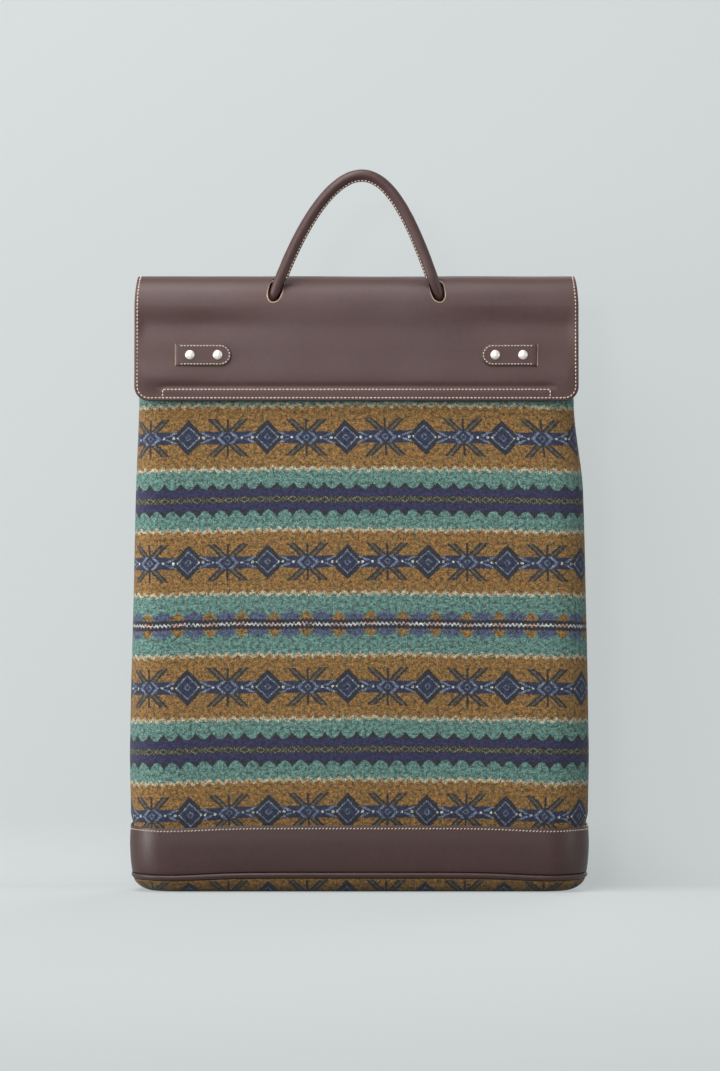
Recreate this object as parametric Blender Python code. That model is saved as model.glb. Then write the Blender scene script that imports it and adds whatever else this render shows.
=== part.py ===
"""Tall flap bag worn on the back: patterned wool body, leather flap, rolled handle, shoulder straps.

The bag stands on its base at z = 0, with its front towards -Y and its width along X. The origin is the
centre of the base. Left is -X and right is +X, as seen from the front. Lengths are in metres.
"""

import math

import bmesh
import bpy
from mathutils import Matrix, Vector

# Clearance between pieces that touch
GAP = 0.0003

# Wool body
BASE_WIDTH = 0.412
BASE_DEPTH = 0.096
BASE_CORNER = 0.038
MOUTH_WIDTH = 0.390
MOUTH_DEPTH = 0.044
MOUTH_CORNER = 0.020
MOUTH_HEIGHT = 0.520
CLOTH = 0.003
LINING = 0.001
BINDING = 0.0012
BINDING_SKIRT = 0.012

# Base of the bag
FLOOR_INSET = 0.014
BOARD_THICKNESS = 0.003
PIPING_RADIUS = 0.0027
PIPING_HEIGHT = 0.0155
PIPING_INSET = 0.0014
BAND_TOP = 0.0605
BAND_THICKNESS = 0.002
BASE_TUCK = 0.0065
TUCK_HEIGHT = 0.035
CLOTH_EASE = 0.012

# Leather flap and the yoke that carries it on the back
LEATHER = 0.0028
HINGE_RISE = 0.006
FLAP_WIDTH = 0.399
FLAP_TOP_WIDTH = 0.394
FLAP_FOOT = 0.440
FLAP_CORNER = 0.013
FLAP_CLEARANCE = 0.0053
FOOT_CLEARANCE = 0.0015
YOKE_FOOT = 0.425
YOKE_FOOT_WIDTH = 0.356
YOKE_TAPER = 0.045
YOKE_CORNER = 0.020
STIFFENER_LENGTH = 0.349
STIFFENER_HEIGHT = 0.015
STIFFENER_THICKNESS = 0.002
STIFFENER_MARGIN = 0.0015

# Closing tabs on the flap
TAB_SLIT = 0.1618
TAB_LENGTH = 0.0492
TAB_WIDTH = 0.020
TAB_THICKNESS = 0.002
TAB_BEND = 0.0012
TAB_TAIL = 0.014
TAB_HEIGHT = 0.4835
TAB_RIVET_INNER = 0.1250
TAB_RIVET_OUTER = 0.1500

# Rolled handle
HANDLE_TOP = 0.6464
HANDLE_SPREAD = 0.1548
HANDLE_RADIUS = 0.0046
HANDLE_END_RADIUS = 0.004
HANDLE_FORWARD = 0.0103
HANDLE_BEND_RISE = 0.030
HANDLE_LEAN = 0.005
HANDLE_FLARE = 0.008
SEAM_HEIGHT = 0.0017
SEAM_FULL_RISE = 0.048
PIVOT_RISE = 0.003
PIVOT_FORWARD = 0.01546
SLOT_WIDTH = 0.0155
SLOT_LENGTH = 0.027
SLOT_ANGLE = math.radians(143.0)

# Loops that hold the handle under the fold
LOOP_THICKNESS = 0.0022
LOOP_WIDTH = 0.014
LOOP_CLEARANCE = 0.0004
LOOP_LIP_ANGLE = math.radians(205.0)
LOOP_BEND = 0.007
LOOP_END_ANGLE = math.radians(30.0)
LOOP_RIVET_ANGLE = math.radians(60.0)

# Shoulder straps
STRAP_WIDTH = 0.032
STRAP_THICKNESS = 0.004
STRAP_TOP = 0.495
STRAP_END = 0.185
STRAP_END_WIDTH = 0.022
STRAP_TOP_SPREAD = 0.100
STRAP_FOOT_MARGIN = 0.056
STRAP_LAP = 0.015
STRAP_BOW = 0.040
TAIL_WIDTH = 0.020
TAIL_THICKNESS = 0.003
TAIL_TOP = 0.262
TAIL_FOOT = 0.026
TAIL_DROP = 0.045
TAIL_HOLES = 3
TAIL_HOLE_PITCH = 0.018
STUD_HEIGHT = 0.223
STUD_POST_RADIUS = 0.0020
STUD_BALL_RADIUS = 0.0036
STUD_FOOT_RADIUS = 0.0045
STUD_FOOT_THICKNESS = 0.0010
STRAP_RIVET_UPPER = 0.483
STRAP_RIVET_LOWER = 0.458

# Domed rivets
RIVET_RADIUS = 0.0041
RIVET_DOME = 0.0016
RIVET_SHANK = 0.0016
BURR_RADIUS = 0.0032
BURR_THICKNESS = 0.0010

# Fineness of the curved surfaces
CORNER_STEPS = 7
FOLD_STEPS = 22
HANDLE_STEPS = 40
STRAP_STEPS = 26
ROUND_SIDES = 12
CURVE_STEPS = 6
END_STEPS = 6
END_START = 0.28
BEND_STEPS = 4
SMOOTH_ANGLE = math.radians(40.0)

RIGHT = Vector((1.0, 0.0, 0.0))
LEATHER_BROWN = ((0.075, 0.042, 0.040, 1.0), 0.50, 0.0)
WOOL_OCHRE = ((0.190, 0.120, 0.055, 1.0), 0.95, 0.0)
LINING_BROWN = ((0.060, 0.045, 0.035, 1.0), 0.85, 0.0)
BOARD_GREY = ((0.160, 0.150, 0.140, 1.0), 0.80, 0.0)
NICKEL = ((0.720, 0.690, 0.650, 1.0), 0.25, 1.0)


def lerp(start, end, share):
    """Value between two others."""
    return start + (end - start) * share


def smooth_share(value, start, end):
    """Eased share of the way from start to end, held at 0 and 1 beyond them."""
    share = min(1.0, max(0.0, (value - start) / (end - start)))
    return share * share * (3.0 - 2.0 * share)


def spread_values(start, end, steps):
    """Evenly spaced values from start to end, both included."""
    return [lerp(start, end, step / steps) for step in range(steps + 1)]


def around(centre, radius, angle):
    """Point on a circle in a plane of constant x, with the angle taken from +Y towards +Z."""
    return centre + Vector((0.0, radius * math.cos(angle), radius * math.sin(angle)))


def frame_at(origin, normal, across=RIGHT):
    """Placing matrix whose z axis is a surface's outward normal and whose x axis runs across it."""
    columns = (across, normal.cross(across), normal)
    turn = Matrix(columns).transposed().to_4x4()
    return Matrix.Translation(origin) @ turn


def material(name, finish):
    """Principled material from a colour, a roughness and a metallic value."""
    made = bpy.data.materials.get(name)
    if made is None:
        made = bpy.data.materials.new(name)
        made.use_nodes = True
        shader = made.node_tree.nodes["Principled BSDF"]
        shader.inputs["Base Color"].default_value = finish[0]
        shader.inputs["Roughness"].default_value = finish[1]
        shader.inputs["Metallic"].default_value = finish[2]
        made.diffuse_color = finish[0]
    return made


def skin(name, rings, finish, closed=False, placing=None):
    """Solid that joins each ring of points to the next, with its two end rings filled."""
    shape = bmesh.new()
    loops = [[shape.verts.new(point) for point in ring] for ring in rings]
    following = loops[1:] + loops[:1] if closed else loops[1:]
    for lower, upper in zip(loops, following):
        for corners in zip(lower, lower[1:] + lower[:1], upper[1:] + upper[:1], upper):
            shape.faces.new(corners)
    if not closed:
        shape.faces.new(loops[0])
        shape.faces.new(loops[-1])
    bmesh.ops.recalc_face_normals(shape, faces=shape.faces)
    mesh = bpy.data.meshes.new(name)
    shape.to_mesh(mesh)
    shape.free()
    mesh.shade_smooth()
    mesh.set_sharp_from_angle(angle=SMOOTH_ANGLE)
    part = bpy.data.objects.new(name, mesh)
    bpy.context.scene.collection.objects.link(part)
    mesh.materials.append(material(name, finish))
    if placing is not None:
        part.location = placing.to_translation()
        part.rotation_mode = "QUATERNION"
        part.rotation_quaternion = placing.to_quaternion()
    return part


def ribbon(name, stations, thickness, finish):
    """Flat strap along stations of centre, face normal and half-width vector."""
    rings = []
    for centre, normal, half_width in stations:
        lift = normal * (thickness / 2.0)
        left = centre - half_width
        right = centre + half_width
        rings.append([left - lift, right - lift, right + lift, left + lift])
    return skin(name, rings, finish)


def disc_points(radius, height):
    """Ring of points round the z axis."""
    turns = [math.tau * side / ROUND_SIDES for side in range(ROUND_SIDES)]
    return [Vector((radius * math.cos(turn), radius * math.sin(turn), height)) for turn in turns]


def turned(name, profile, placing, finish):
    """Round solid from radius and height pairs, turned about the placing's z axis."""
    rings = [disc_points(radius, height) for radius, height in profile]
    return skin(name, rings, finish, placing=placing)


def cut(target, name, outline, low, high, placing):
    """Cuts a hole of a flat outline through the target, from low to high along the placing's z axis."""
    rings = [[Vector((x, y, height)) for x, y in outline] for height in (low, high)]
    cutter = skin(name, rings, LINING_BROWN, placing=placing)
    cutter.hide_render = True
    cutter.display_type = "WIRE"
    hole = target.modifiers.new(name, "BOOLEAN")
    hole.operation = "DIFFERENCE"
    hole.solver = "EXACT"
    hole.object = cutter
    return cutter


def circle_outline(radius):
    """Outline of a round hole."""
    return [(point.x, point.y) for point in disc_points(radius, 0.0)]


def slot_outline(width, length):
    """Outline of a slot with round ends, its length along y."""
    radius = width / 2.0
    reach = length / 2.0 - radius
    half_steps = ROUND_SIDES // 2
    points = []
    for end, start in ((1.0, 0.0), (-1.0, math.pi)):
        for angle in spread_values(start, start + math.pi, half_steps):
            points.append((radius * math.cos(angle), end * reach + radius * math.sin(angle)))
    return points


def box_outline(width, length):
    """Outline of a rectangular slit."""
    x, y = width / 2.0, length / 2.0
    return [(x, -y), (x, y), (-x, y), (-x, -y)]


# Outline of the body


def outline(height):
    """Half width, half depth and corner radius of the body at a height."""
    share = max(0.0, (height - BAND_TOP) / (MOUTH_HEIGHT - BAND_TOP))
    tuck = BASE_TUCK * max(0.0, 1.0 - height / TUCK_HEIGHT) ** 2
    half_width = lerp(BASE_WIDTH, MOUTH_WIDTH, share) / 2.0 - tuck
    half_depth = lerp(BASE_DEPTH, MOUTH_DEPTH, share) / 2.0 - tuck
    corner = min(lerp(BASE_CORNER, MOUTH_CORNER, share), half_depth - GAP)
    return half_width, half_depth, corner


def body_ring(height, inset):
    """Closed loop round the body, a given inset inside its outline."""
    half_width, half_depth, corner = outline(height)
    radius = corner - inset
    points = []
    for quarter, (side_x, side_y) in enumerate(((1, 1), (-1, 1), (-1, -1), (1, -1))):
        centre = Vector((side_x * (half_width - corner), side_y * (half_depth - corner), height))
        for step in range(CORNER_STEPS + 1):
            turn = (quarter + step / CORNER_STEPS) * math.pi / 2.0
            points.append(centre + Vector((radius * math.cos(turn), radius * math.sin(turn), 0.0)))
    return points


def half_ring(height, inset, facing):
    """Open path round the front (facing -1) or back (facing 1) half, between the side seams."""
    half_width = outline(height)[0] - inset
    path = [point for point in body_ring(height, inset) if point.y * facing > 0.0]
    seam = facing * GAP / 2.0
    first = Vector((math.copysign(half_width, path[0].x), seam, height))
    last = Vector((math.copysign(half_width, path[-1].x), seam, height))
    return [first, *path, last]


def cloth_inset(height):
    """Inset of the wool: behind the leather band at the base, and flush with the outline above it."""
    return lerp(BAND_THICKNESS + GAP, 0.0, smooth_share(height, BAND_TOP, BAND_TOP + CLOTH_EASE))


def band_foot():
    """Height of the leather band's lower edge, just above the piping."""
    return PIPING_HEIGHT + PIPING_RADIUS + GAP


def pan_top():
    """Height of the base panel's upper edge, just below the piping."""
    return PIPING_HEIGHT - PIPING_RADIUS - GAP


def body_levels():
    """Heights at which the body's walls are drawn."""
    ease = spread_values(BAND_TOP, BAND_TOP + CLOTH_EASE, 3)
    return [band_foot(), TUCK_HEIGHT, *ease, MOUTH_HEIGHT]


# Body pieces


def add_wool_panel(name, facing):
    """Half of the wool body, from the base to the mouth."""
    rings = []
    for height in body_levels():
        inset = cloth_inset(height)
        outer = half_ring(height, inset, facing)
        inner = half_ring(height, inset + CLOTH, facing)
        rings.append(outer + inner[::-1])
    return skin(name, rings, WOOL_OCHRE)


def pan_profile(height_low, extra):
    """Rounded lower edge as inset and height pairs, from the floor up to the piping."""
    rise = pan_top() - height_low
    pairs = []
    for turn in spread_values(0.0, math.pi / 2.0, CURVE_STEPS):
        inset = extra + FLOOR_INSET * (1.0 - math.sin(turn))
        pairs.append((inset, height_low + rise * (1.0 - math.cos(turn))))
    return pairs


def add_base_panel():
    """Wool pan under the bag, with a rounded edge."""
    outer = [body_ring(height, inset) for inset, height in pan_profile(0.0, 0.0)]
    inner = [body_ring(height, inset) for inset, height in pan_profile(CLOTH, CLOTH)]
    return skin("base_panel", outer + inner[::-1], WOOL_OCHRE)


def add_base_board():
    """Stiff board that lies in the wool pan."""
    floor = CLOTH + GAP
    inset = CLOTH + FLOOR_INSET + GAP
    rings = [body_ring(height, inset) for height in (floor, floor + BOARD_THICKNESS)]
    return skin("base_board", rings, BOARD_GREY)


def add_lining():
    """Thin lining with a closed bottom, inside the wool."""
    floor = CLOTH + GAP + BOARD_THICKNESS + GAP
    floor_inset = CLOTH + FLOOR_INSET + GAP
    foot_inset = cloth_inset(0.0) + CLOTH + GAP
    outer = [body_ring(floor, floor_inset), body_ring(pan_top(), foot_inset)]
    inner = [body_ring(floor + LINING, floor_inset + LINING)]
    inner.append(body_ring(pan_top() + LINING, foot_inset + LINING))
    for height in body_levels():
        inset = cloth_inset(height) + CLOTH + GAP
        outer.append(body_ring(height, inset))
        inner.append(body_ring(height, inset + LINING))
    return skin("lining", outer + inner[::-1], LINING_BROWN)


def add_base_piping():
    """Leather piping round the bag, between the base panel and the band."""
    rings = []
    for side in range(ROUND_SIDES):
        turn = math.tau * side / ROUND_SIDES
        height = PIPING_HEIGHT + PIPING_RADIUS * math.sin(turn)
        rings.append(body_ring(height, PIPING_INSET - PIPING_RADIUS * math.cos(turn)))
    return skin("base_piping", rings, LEATHER_BROWN, closed=True)


def add_base_band():
    """Wide leather band round the foot of the bag."""
    heights = [band_foot(), TUCK_HEIGHT, BAND_TOP]
    outer = [body_ring(height, 0.0) for height in heights]
    inner = [body_ring(height, BAND_THICKNESS) for height in heights]
    return skin("base_band", outer + inner[::-1], LEATHER_BROWN, closed=True)


def add_mouth_binding():
    """Thin leather binding folded over the mouth's edge."""
    skirt = MOUTH_HEIGHT - BINDING_SKIRT
    crown = MOUTH_HEIGHT + GAP
    wall = CLOTH + GAP + LINING
    section = [
        (-GAP - BINDING, skirt),
        (-GAP - BINDING, crown + BINDING),
        (wall + GAP + BINDING, crown + BINDING),
        (wall + GAP + BINDING, skirt),
        (wall + GAP, skirt),
        (wall + GAP, crown),
        (-GAP, crown),
        (-GAP, skirt),
    ]
    rings = [body_ring(height, inset) for inset, height in section]
    return skin("mouth_binding", rings, LEATHER_BROWN, closed=True)


# Shape of the flap


def hinge_height():
    """Height of the line where the flap turns on the yoke."""
    return MOUTH_HEIGHT + HINGE_RISE


def yoke_standoff():
    """Distance from the wool to the yoke, which lies over the binding."""
    return GAP + BINDING + GAP


def yoke_face(height):
    """Distance from the middle of the bag to the yoke's outer face."""
    return outline(height)[1] + yoke_standoff() + LEATHER


def fold_front():
    """Distance from the middle of the bag to the front of the fold."""
    return outline(hinge_height())[1] + FLAP_CLEARANCE + LEATHER


def fold_radius():
    """Outer radius of the flap's fold over the mouth."""
    return (yoke_face(hinge_height()) + fold_front()) / 2.0


def fold_centre():
    """Centre of the fold."""
    return Vector((0.0, yoke_face(hinge_height()) - fold_radius(), hinge_height()))


def hinge_point():
    """Hinge line, on the outer side of the leather so that the flap opens right back."""
    return Vector((0.0, yoke_face(hinge_height()) + GAP / 2.0, hinge_height()))


def front_angle():
    """Angle round the fold at which the flap runs straight down to its foot."""
    inner = fold_radius() - LEATHER
    clearance = STIFFENER_THICKNESS + GAP + FOOT_CLEARANCE
    foot = Vector((0.0, -outline(FLAP_FOOT)[1] - clearance, FLAP_FOOT)) - fold_centre()
    return math.atan2(foot.z, foot.y) + math.tau - math.acos(inner / foot.length)


def front_face(x, height):
    """Placing on the flap's outer front face at a height, with y running up the face."""
    angle = front_angle()
    start = around(fold_centre(), fold_radius(), angle)
    down = (start.z - height) / abs(math.cos(angle))
    normal = around(Vector(), 1.0, angle)
    placing = frame_at(Vector((x, start.y, start.z)), normal)
    return placing @ Matrix.Translation((0.0, -down, 0.0))


def fold_half_width(angle):
    """Half width of the flap round the fold, a little narrower over the top."""
    return lerp(FLAP_WIDTH, FLAP_TOP_WIDTH, math.sin(angle) ** 2) / 2.0


def corner_trim(distance, corner):
    """How much a rounded corner takes off the half width, at a distance from the lower edge."""
    if distance >= corner:
        return 0.0
    return corner - math.sqrt(corner * corner - (corner - distance) ** 2)


def rounded_corner_heights(foot, corner):
    """Heights through a rounded lower corner, down to the foot."""
    turns = spread_values(0.0, math.pi / 2.0, CURVE_STEPS)[1:]
    return [foot + corner * (1.0 - math.sin(turn)) for turn in turns]


def flap_stations():
    """Centre, normal and half width of the flap from its hinge over the fold to its foot."""
    middle = fold_radius() - LEATHER / 2.0
    stations = []
    for angle in spread_values(0.0, front_angle(), FOLD_STEPS):
        centre = around(fold_centre(), middle, angle)
        if angle == 0.0:
            centre.z += GAP / 2.0
        stations.append((centre, around(Vector(), 1.0, angle), RIGHT * fold_half_width(angle)))
    bend = around(fold_centre(), fold_radius(), front_angle()).z
    heights = spread_values(bend, FLAP_FOOT + FLAP_CORNER, BEND_STEPS)[1:]
    heights += rounded_corner_heights(FLAP_FOOT, FLAP_CORNER)
    for height in heights:
        placing = front_face(0.0, height)
        centre = placing @ Vector((0.0, 0.0, -LEATHER / 2.0))
        half_width = fold_half_width(front_angle()) - corner_trim(height - FLAP_FOOT, FLAP_CORNER)
        stations.append((centre, placing.to_3x3() @ Vector((0.0, 0.0, 1.0)), RIGHT * half_width))
    return stations


def add_flap():
    """Leather flap with its fold, the handle's slots, the tabs' slits and the rivet holes."""
    flap = ribbon("flap", flap_stations(), LEATHER, LEATHER_BROWN)
    reach = 2.0 * LEATHER
    for name, side in (("left", -1.0), ("right", 1.0)):
        slot_x = side * handle_reach(around(fold_centre(), fold_radius(), SLOT_ANGLE).z)
        placing = fold_face(slot_x, SLOT_ANGLE)
        cut(flap, f"slot_cutter_{name}", slot_outline(SLOT_WIDTH, SLOT_LENGTH), -4.0 * reach, reach, placing)
        slit = box_outline(TAB_THICKNESS + 2.0 * GAP, TAB_WIDTH + 2.0 * GAP)
        cut(flap, f"slit_cutter_{name}", slit, -reach, reach, front_face(side * TAB_SLIT, TAB_HEIGHT))
        hole = circle_outline(RIVET_SHANK + GAP)
        for place, x in (("inner", TAB_RIVET_INNER), ("outer", TAB_RIVET_OUTER)):
            cut(flap, f"hole_cutter_{name}_{place}", hole, -reach, reach, front_face(side * x, TAB_HEIGHT))
        placing = fold_face(side * HANDLE_SPREAD / 2.0, LOOP_RIVET_ANGLE)
        cut(flap, f"hole_cutter_{name}_loop", hole, -reach, reach, placing)
    return flap


def fold_face(x, angle):
    """Placing on the outer face of the fold."""
    origin = around(fold_centre(), fold_radius(), angle)
    return frame_at(Vector((x, origin.y, origin.z)), around(Vector(), 1.0, angle))


def add_stiffener():
    """Leather strip sewn behind the flap's lower edge."""
    low = FLAP_FOOT + STIFFENER_MARGIN
    stations = []
    for height in (low, low + STIFFENER_HEIGHT):
        placing = front_face(0.0, height)
        centre = placing @ Vector((0.0, 0.0, -LEATHER - GAP - STIFFENER_THICKNESS / 2.0))
        stations.append((centre, placing.to_3x3() @ Vector((0.0, 0.0, 1.0)), RIGHT * STIFFENER_LENGTH / 2.0))
    return ribbon("flap_stiffener", stations, STIFFENER_THICKNESS, LEATHER_BROWN)


def add_yoke():
    """Leather yoke on the upper back, which carries the flap and the shoulder straps."""
    top = hinge_height() - GAP / 2.0
    heights = spread_values(top, YOKE_FOOT + YOKE_CORNER, CURVE_STEPS)
    heights += rounded_corner_heights(YOKE_FOOT, YOKE_CORNER)
    stations = []
    for height in heights:
        taper = smooth_share(height, top - YOKE_TAPER, top)
        half_width = lerp(YOKE_FOOT_WIDTH, FLAP_WIDTH, taper) / 2.0
        half_width -= corner_trim(height - YOKE_FOOT, YOKE_CORNER)
        centre = Vector((0.0, yoke_face(height) - LEATHER / 2.0, height))
        stations.append((centre, Vector((0.0, 1.0, 0.0)), RIGHT * half_width))
    yoke = ribbon("back_yoke", stations, LEATHER, LEATHER_BROWN)
    hole = circle_outline(RIVET_SHANK + GAP)
    for name, side in (("left", -1.0), ("right", 1.0)):
        for place, height in (("upper", STRAP_RIVET_UPPER), ("lower", STRAP_RIVET_LOWER)):
            placing = strap_frame(side, height)
            cut(yoke, f"yoke_cutter_{name}_{place}", hole, -2.0 * LEATHER, LEATHER, placing)
    return yoke


# Closing tabs


def tab_path():
    """Centre line of a tab as distance from the middle and depth: outside the flap, in, then outwards."""
    outside = GAP + TAB_THICKNESS / 2.0
    inside = -LEATHER - GAP - TAB_THICKNESS / 2.0
    inner_end = TAB_SLIT - TAB_LENGTH
    radius = TAB_WIDTH / 2.0
    path = []
    for turn in spread_values(END_START, math.pi / 2.0, END_STEPS):
        path.append((inner_end + radius * (1.0 - math.cos(turn)), outside))
    for turn in spread_values(math.pi / 2.0, 0.0, BEND_STEPS):
        distance = TAB_SLIT - TAB_BEND * (1.0 - math.cos(turn))
        path.append((distance, outside - TAB_BEND * (1.0 - math.sin(turn))))
    for turn in spread_values(math.pi, 1.5 * math.pi, BEND_STEPS):
        distance = TAB_SLIT + TAB_BEND * (1.0 + math.cos(turn))
        path.append((distance, inside + TAB_BEND * (1.0 + math.sin(turn))))
    path.append((TAB_SLIT + TAB_TAIL, inside))
    return path


def tab_half_width(distance):
    """Half width of a tab, with its round inner end."""
    radius = TAB_WIDTH / 2.0
    from_end = distance - (TAB_SLIT - TAB_LENGTH)
    if from_end >= radius:
        return radius
    return math.sqrt(radius * radius - (radius - from_end) ** 2)


def add_tab(name, side):
    """Leather tab that lies on the flap's front and passes through a slit to its back."""
    placing = front_face(0.0, TAB_HEIGHT)
    path = tab_path()
    stations = []
    for place, (distance, depth) in enumerate(path):
        before = path[max(0, place - 1)]
        after = path[min(len(path) - 1, place + 1)]
        along = Vector((after[0] - before[0], after[1] - before[1])).normalized()
        centre = placing @ Vector((side * distance, 0.0, depth))
        normal = placing.to_3x3() @ Vector((-side * along.y, 0.0, along.x))
        half_width = placing.to_3x3() @ Vector((0.0, tab_half_width(distance), 0.0))
        stations.append((centre, normal, half_width))
    tab = ribbon(f"flap_tab_{name}", stations, TAB_THICKNESS, LEATHER_BROWN)
    hole = circle_outline(RIVET_SHANK + GAP)
    for place, x in (("inner", TAB_RIVET_INNER), ("outer", TAB_RIVET_OUTER)):
        face = front_face(side * x, TAB_HEIGHT)
        cut(tab, f"tab_cutter_{name}_{place}", hole, -TAB_THICKNESS, 3.0 * TAB_THICKNESS, face)
    return tab


# Rivets


def add_rivet(name, placing, layers):
    """Domed rivet through layers whose top lies on the placing's origin plane."""
    cap = GAP
    burr = -layers - GAP
    profile = [
        (RIVET_RADIUS * 0.25, cap + RIVET_DOME),
        (RIVET_RADIUS * 0.62, cap + RIVET_DOME * 0.84),
        (RIVET_RADIUS * 0.90, cap + RIVET_DOME * 0.48),
        (RIVET_RADIUS, cap),
        (RIVET_SHANK, cap),
        (RIVET_SHANK, burr),
        (BURR_RADIUS, burr),
        (BURR_RADIUS, burr - BURR_THICKNESS),
    ]
    return turned(name, profile, placing, NICKEL)


def add_tab_rivets(name, side):
    """Two rivets that fasten a tab to the flap."""
    rivets = []
    for place, x in (("inner", TAB_RIVET_INNER), ("outer", TAB_RIVET_OUTER)):
        top = front_face(side * x, TAB_HEIGHT) @ Matrix.Translation((0.0, 0.0, GAP + TAB_THICKNESS))
        rivets.append(add_rivet(f"tab_rivet_{name}_{place}", top, LEATHER + GAP + TAB_THICKNESS))
    return rivets


# Rolled handle


def handle_pivot():
    """Point under the fold where the handle's ends rest in their loops."""
    return fold_centre() + Vector((0.0, -PIVOT_FORWARD, PIVOT_RISE))


def handle_reach(height):
    """Distance from the middle to the handle's centre line at a height."""
    share = (HANDLE_TOP - height) / (HANDLE_TOP - handle_pivot().z)
    return HANDLE_SPREAD / 2.0 * math.sqrt(max(0.0, share))


def handle_point(place):
    """Point on the handle's centre line, for a place from -1 at the left end to 1 at the right end."""
    pivot = handle_pivot()
    swing = math.sin(place * math.pi / 2.0)
    height = lerp(HANDLE_TOP, pivot.z, swing * swing)
    rise = min(1.0, (height - pivot.z) / HANDLE_BEND_RISE)
    lean = HANDLE_LEAN * (1.0 - swing * swing) ** 2
    forward = HANDLE_FORWARD * (1.0 - (1.0 - rise) ** 2)
    return Vector((swing * HANDLE_SPREAD / 2.0 + lean, pivot.y - forward, height))


def handle_section(centre, along, radius, seam):
    """Ring round the handle, with the raised seam on the inner side of the arch."""
    inward = (Vector((0.0, centre.y, handle_pivot().z)) - centre).normalized()
    inward = (inward - along * inward.dot(along)).normalized()
    sideways = along.cross(inward)
    turns = [(0, 0.0), (30, 0.0), (60, 0.0), (74, 0.0), (80, 1.0), (100, 1.0), (106, 0.0)]
    turns += [(degrees, 0.0) for degrees in range(120, 360, 30)]
    ring = []
    for degrees, raised in turns:
        turn = math.radians(degrees)
        reach = radius + raised * seam
        ring.append(centre + sideways * (reach * math.cos(turn)) + inward * (reach * math.sin(turn)))
    return ring


def handle_end(along, place):
    """Rounded rings that close one end of the handle, from the pivot outwards."""
    centre = handle_point(place)
    rings = []
    for turn in (0.45, 0.9, 1.3):
        radius = HANDLE_END_RADIUS * math.cos(turn)
        beyond = centre + along * (HANDLE_END_RADIUS * math.sin(turn) * place)
        rings.append(handle_section(beyond, along, radius, 0.0))
    return rings


def add_handle():
    """Rolled leather handle, an arch whose two ends rest under the fold."""
    rings = []
    pivot = handle_pivot()
    places = [math.copysign(abs(place) ** 0.8, place) for place in spread_values(-1.0, 1.0, HANDLE_STEPS)]
    step = 0.001
    for place in places:
        centre = handle_point(place)
        before = handle_point(max(-1.0, place - step))
        after = handle_point(min(1.0, place + step))
        along = (after - before).normalized()
        flare = smooth_share(centre.z, pivot.z, pivot.z + HANDLE_FLARE)
        seam = SEAM_HEIGHT * smooth_share(centre.z, pivot.z + HANDLE_BEND_RISE, pivot.z + SEAM_FULL_RISE)
        radius = lerp(HANDLE_END_RADIUS, HANDLE_RADIUS, flare)
        if place == -1.0:
            rings += handle_end(along, place)[::-1]
        rings.append(handle_section(centre, along, radius, seam))
        if place == 1.0:
            rings += handle_end(along, place)
    return skin("handle", rings, LEATHER_BROWN)


def loop_path():
    """Centre line of a handle loop: round under the handle's end, up, and back along the fold."""
    pivot = handle_pivot()
    fold = fold_centre()
    trough = HANDLE_END_RADIUS + LOOP_CLEARANCE + LOOP_THICKNESS / 2.0
    under_fold = fold_radius() - LEATHER - GAP - LOOP_THICKNESS / 2.0
    bend = Vector((0.0, pivot.y + trough + LOOP_BEND, 0.0))
    bend.z = fold.z + math.sqrt((under_fold - LOOP_BEND) ** 2 - (bend.y - fold.y) ** 2)
    meeting = math.atan2(bend.z - fold.z, bend.y - fold.y)
    path = [around(pivot, trough, turn) for turn in spread_values(LOOP_LIP_ANGLE, math.tau, 9)]
    path += [around(bend, LOOP_BEND, turn) for turn in spread_values(math.pi, meeting, 4)]
    path += [around(fold, under_fold, turn) for turn in spread_values(meeting, LOOP_END_ANGLE, 7)[1:]]
    return path


def add_handle_loop(name, side):
    """Leather loop under the fold that carries one end of the handle."""
    path = loop_path()
    across = RIGHT * (LOOP_WIDTH / 2.0)
    stations = []
    for place, point in enumerate(path):
        along = (path[min(len(path) - 1, place + 1)] - path[max(0, place - 1)]).normalized()
        centre = point + RIGHT * (side * HANDLE_SPREAD / 2.0)
        stations.append((centre, along.cross(RIGHT), across))
    loop = ribbon(f"handle_loop_{name}", stations, LOOP_THICKNESS, LEATHER_BROWN)
    placing = fold_face(side * HANDLE_SPREAD / 2.0, LOOP_RIVET_ANGLE)
    hole = circle_outline(RIVET_SHANK + GAP)
    cut(loop, f"loop_cutter_{name}", hole, -3.0 * LEATHER, 0.0, placing)
    return loop


# Shoulder straps


def strap_line(side, height):
    """Line that the straps follow down the back, on the surface that they lie against."""
    share = (STRAP_TOP - height) / (STRAP_TOP - TAIL_FOOT)
    x = side * lerp(STRAP_TOP_SPREAD / 2.0, BASE_WIDTH / 2.0 - STRAP_FOOT_MARGIN, share)
    free_top = YOKE_FOOT + STRAP_LAP
    seat = (yoke_standoff() + LEATHER) * smooth_share(height, BAND_TOP, free_top)
    free = min(1.0, max(0.0, (free_top - height) / (free_top - BAND_TOP)))
    bow = STRAP_BOW * math.sin(math.pi * free) ** 2
    return Vector((x, outline(height)[1] + seat + bow, height))


def strap_frame(side, height):
    """Placing on the line of a strap, with y running along the strap and z away from the bag."""
    step = 0.0005
    along = (strap_line(side, height + step) - strap_line(side, height - step)).normalized()
    across = along.cross(Vector((0.0, 1.0, 0.0))).normalized()
    normal = across.cross(along)
    return frame_at(strap_line(side, height), normal, across)


def strap_station(side, height, lift, half_width):
    """Centre, normal and half width of a strap at a height, lifted off the line that it follows."""
    placing = strap_frame(side, height)
    centre = placing @ Vector((0.0, 0.0, lift))
    turn = placing.to_3x3()
    return centre, turn @ Vector((0.0, 0.0, 1.0)), turn @ Vector((half_width, 0.0, 0.0))


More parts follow.
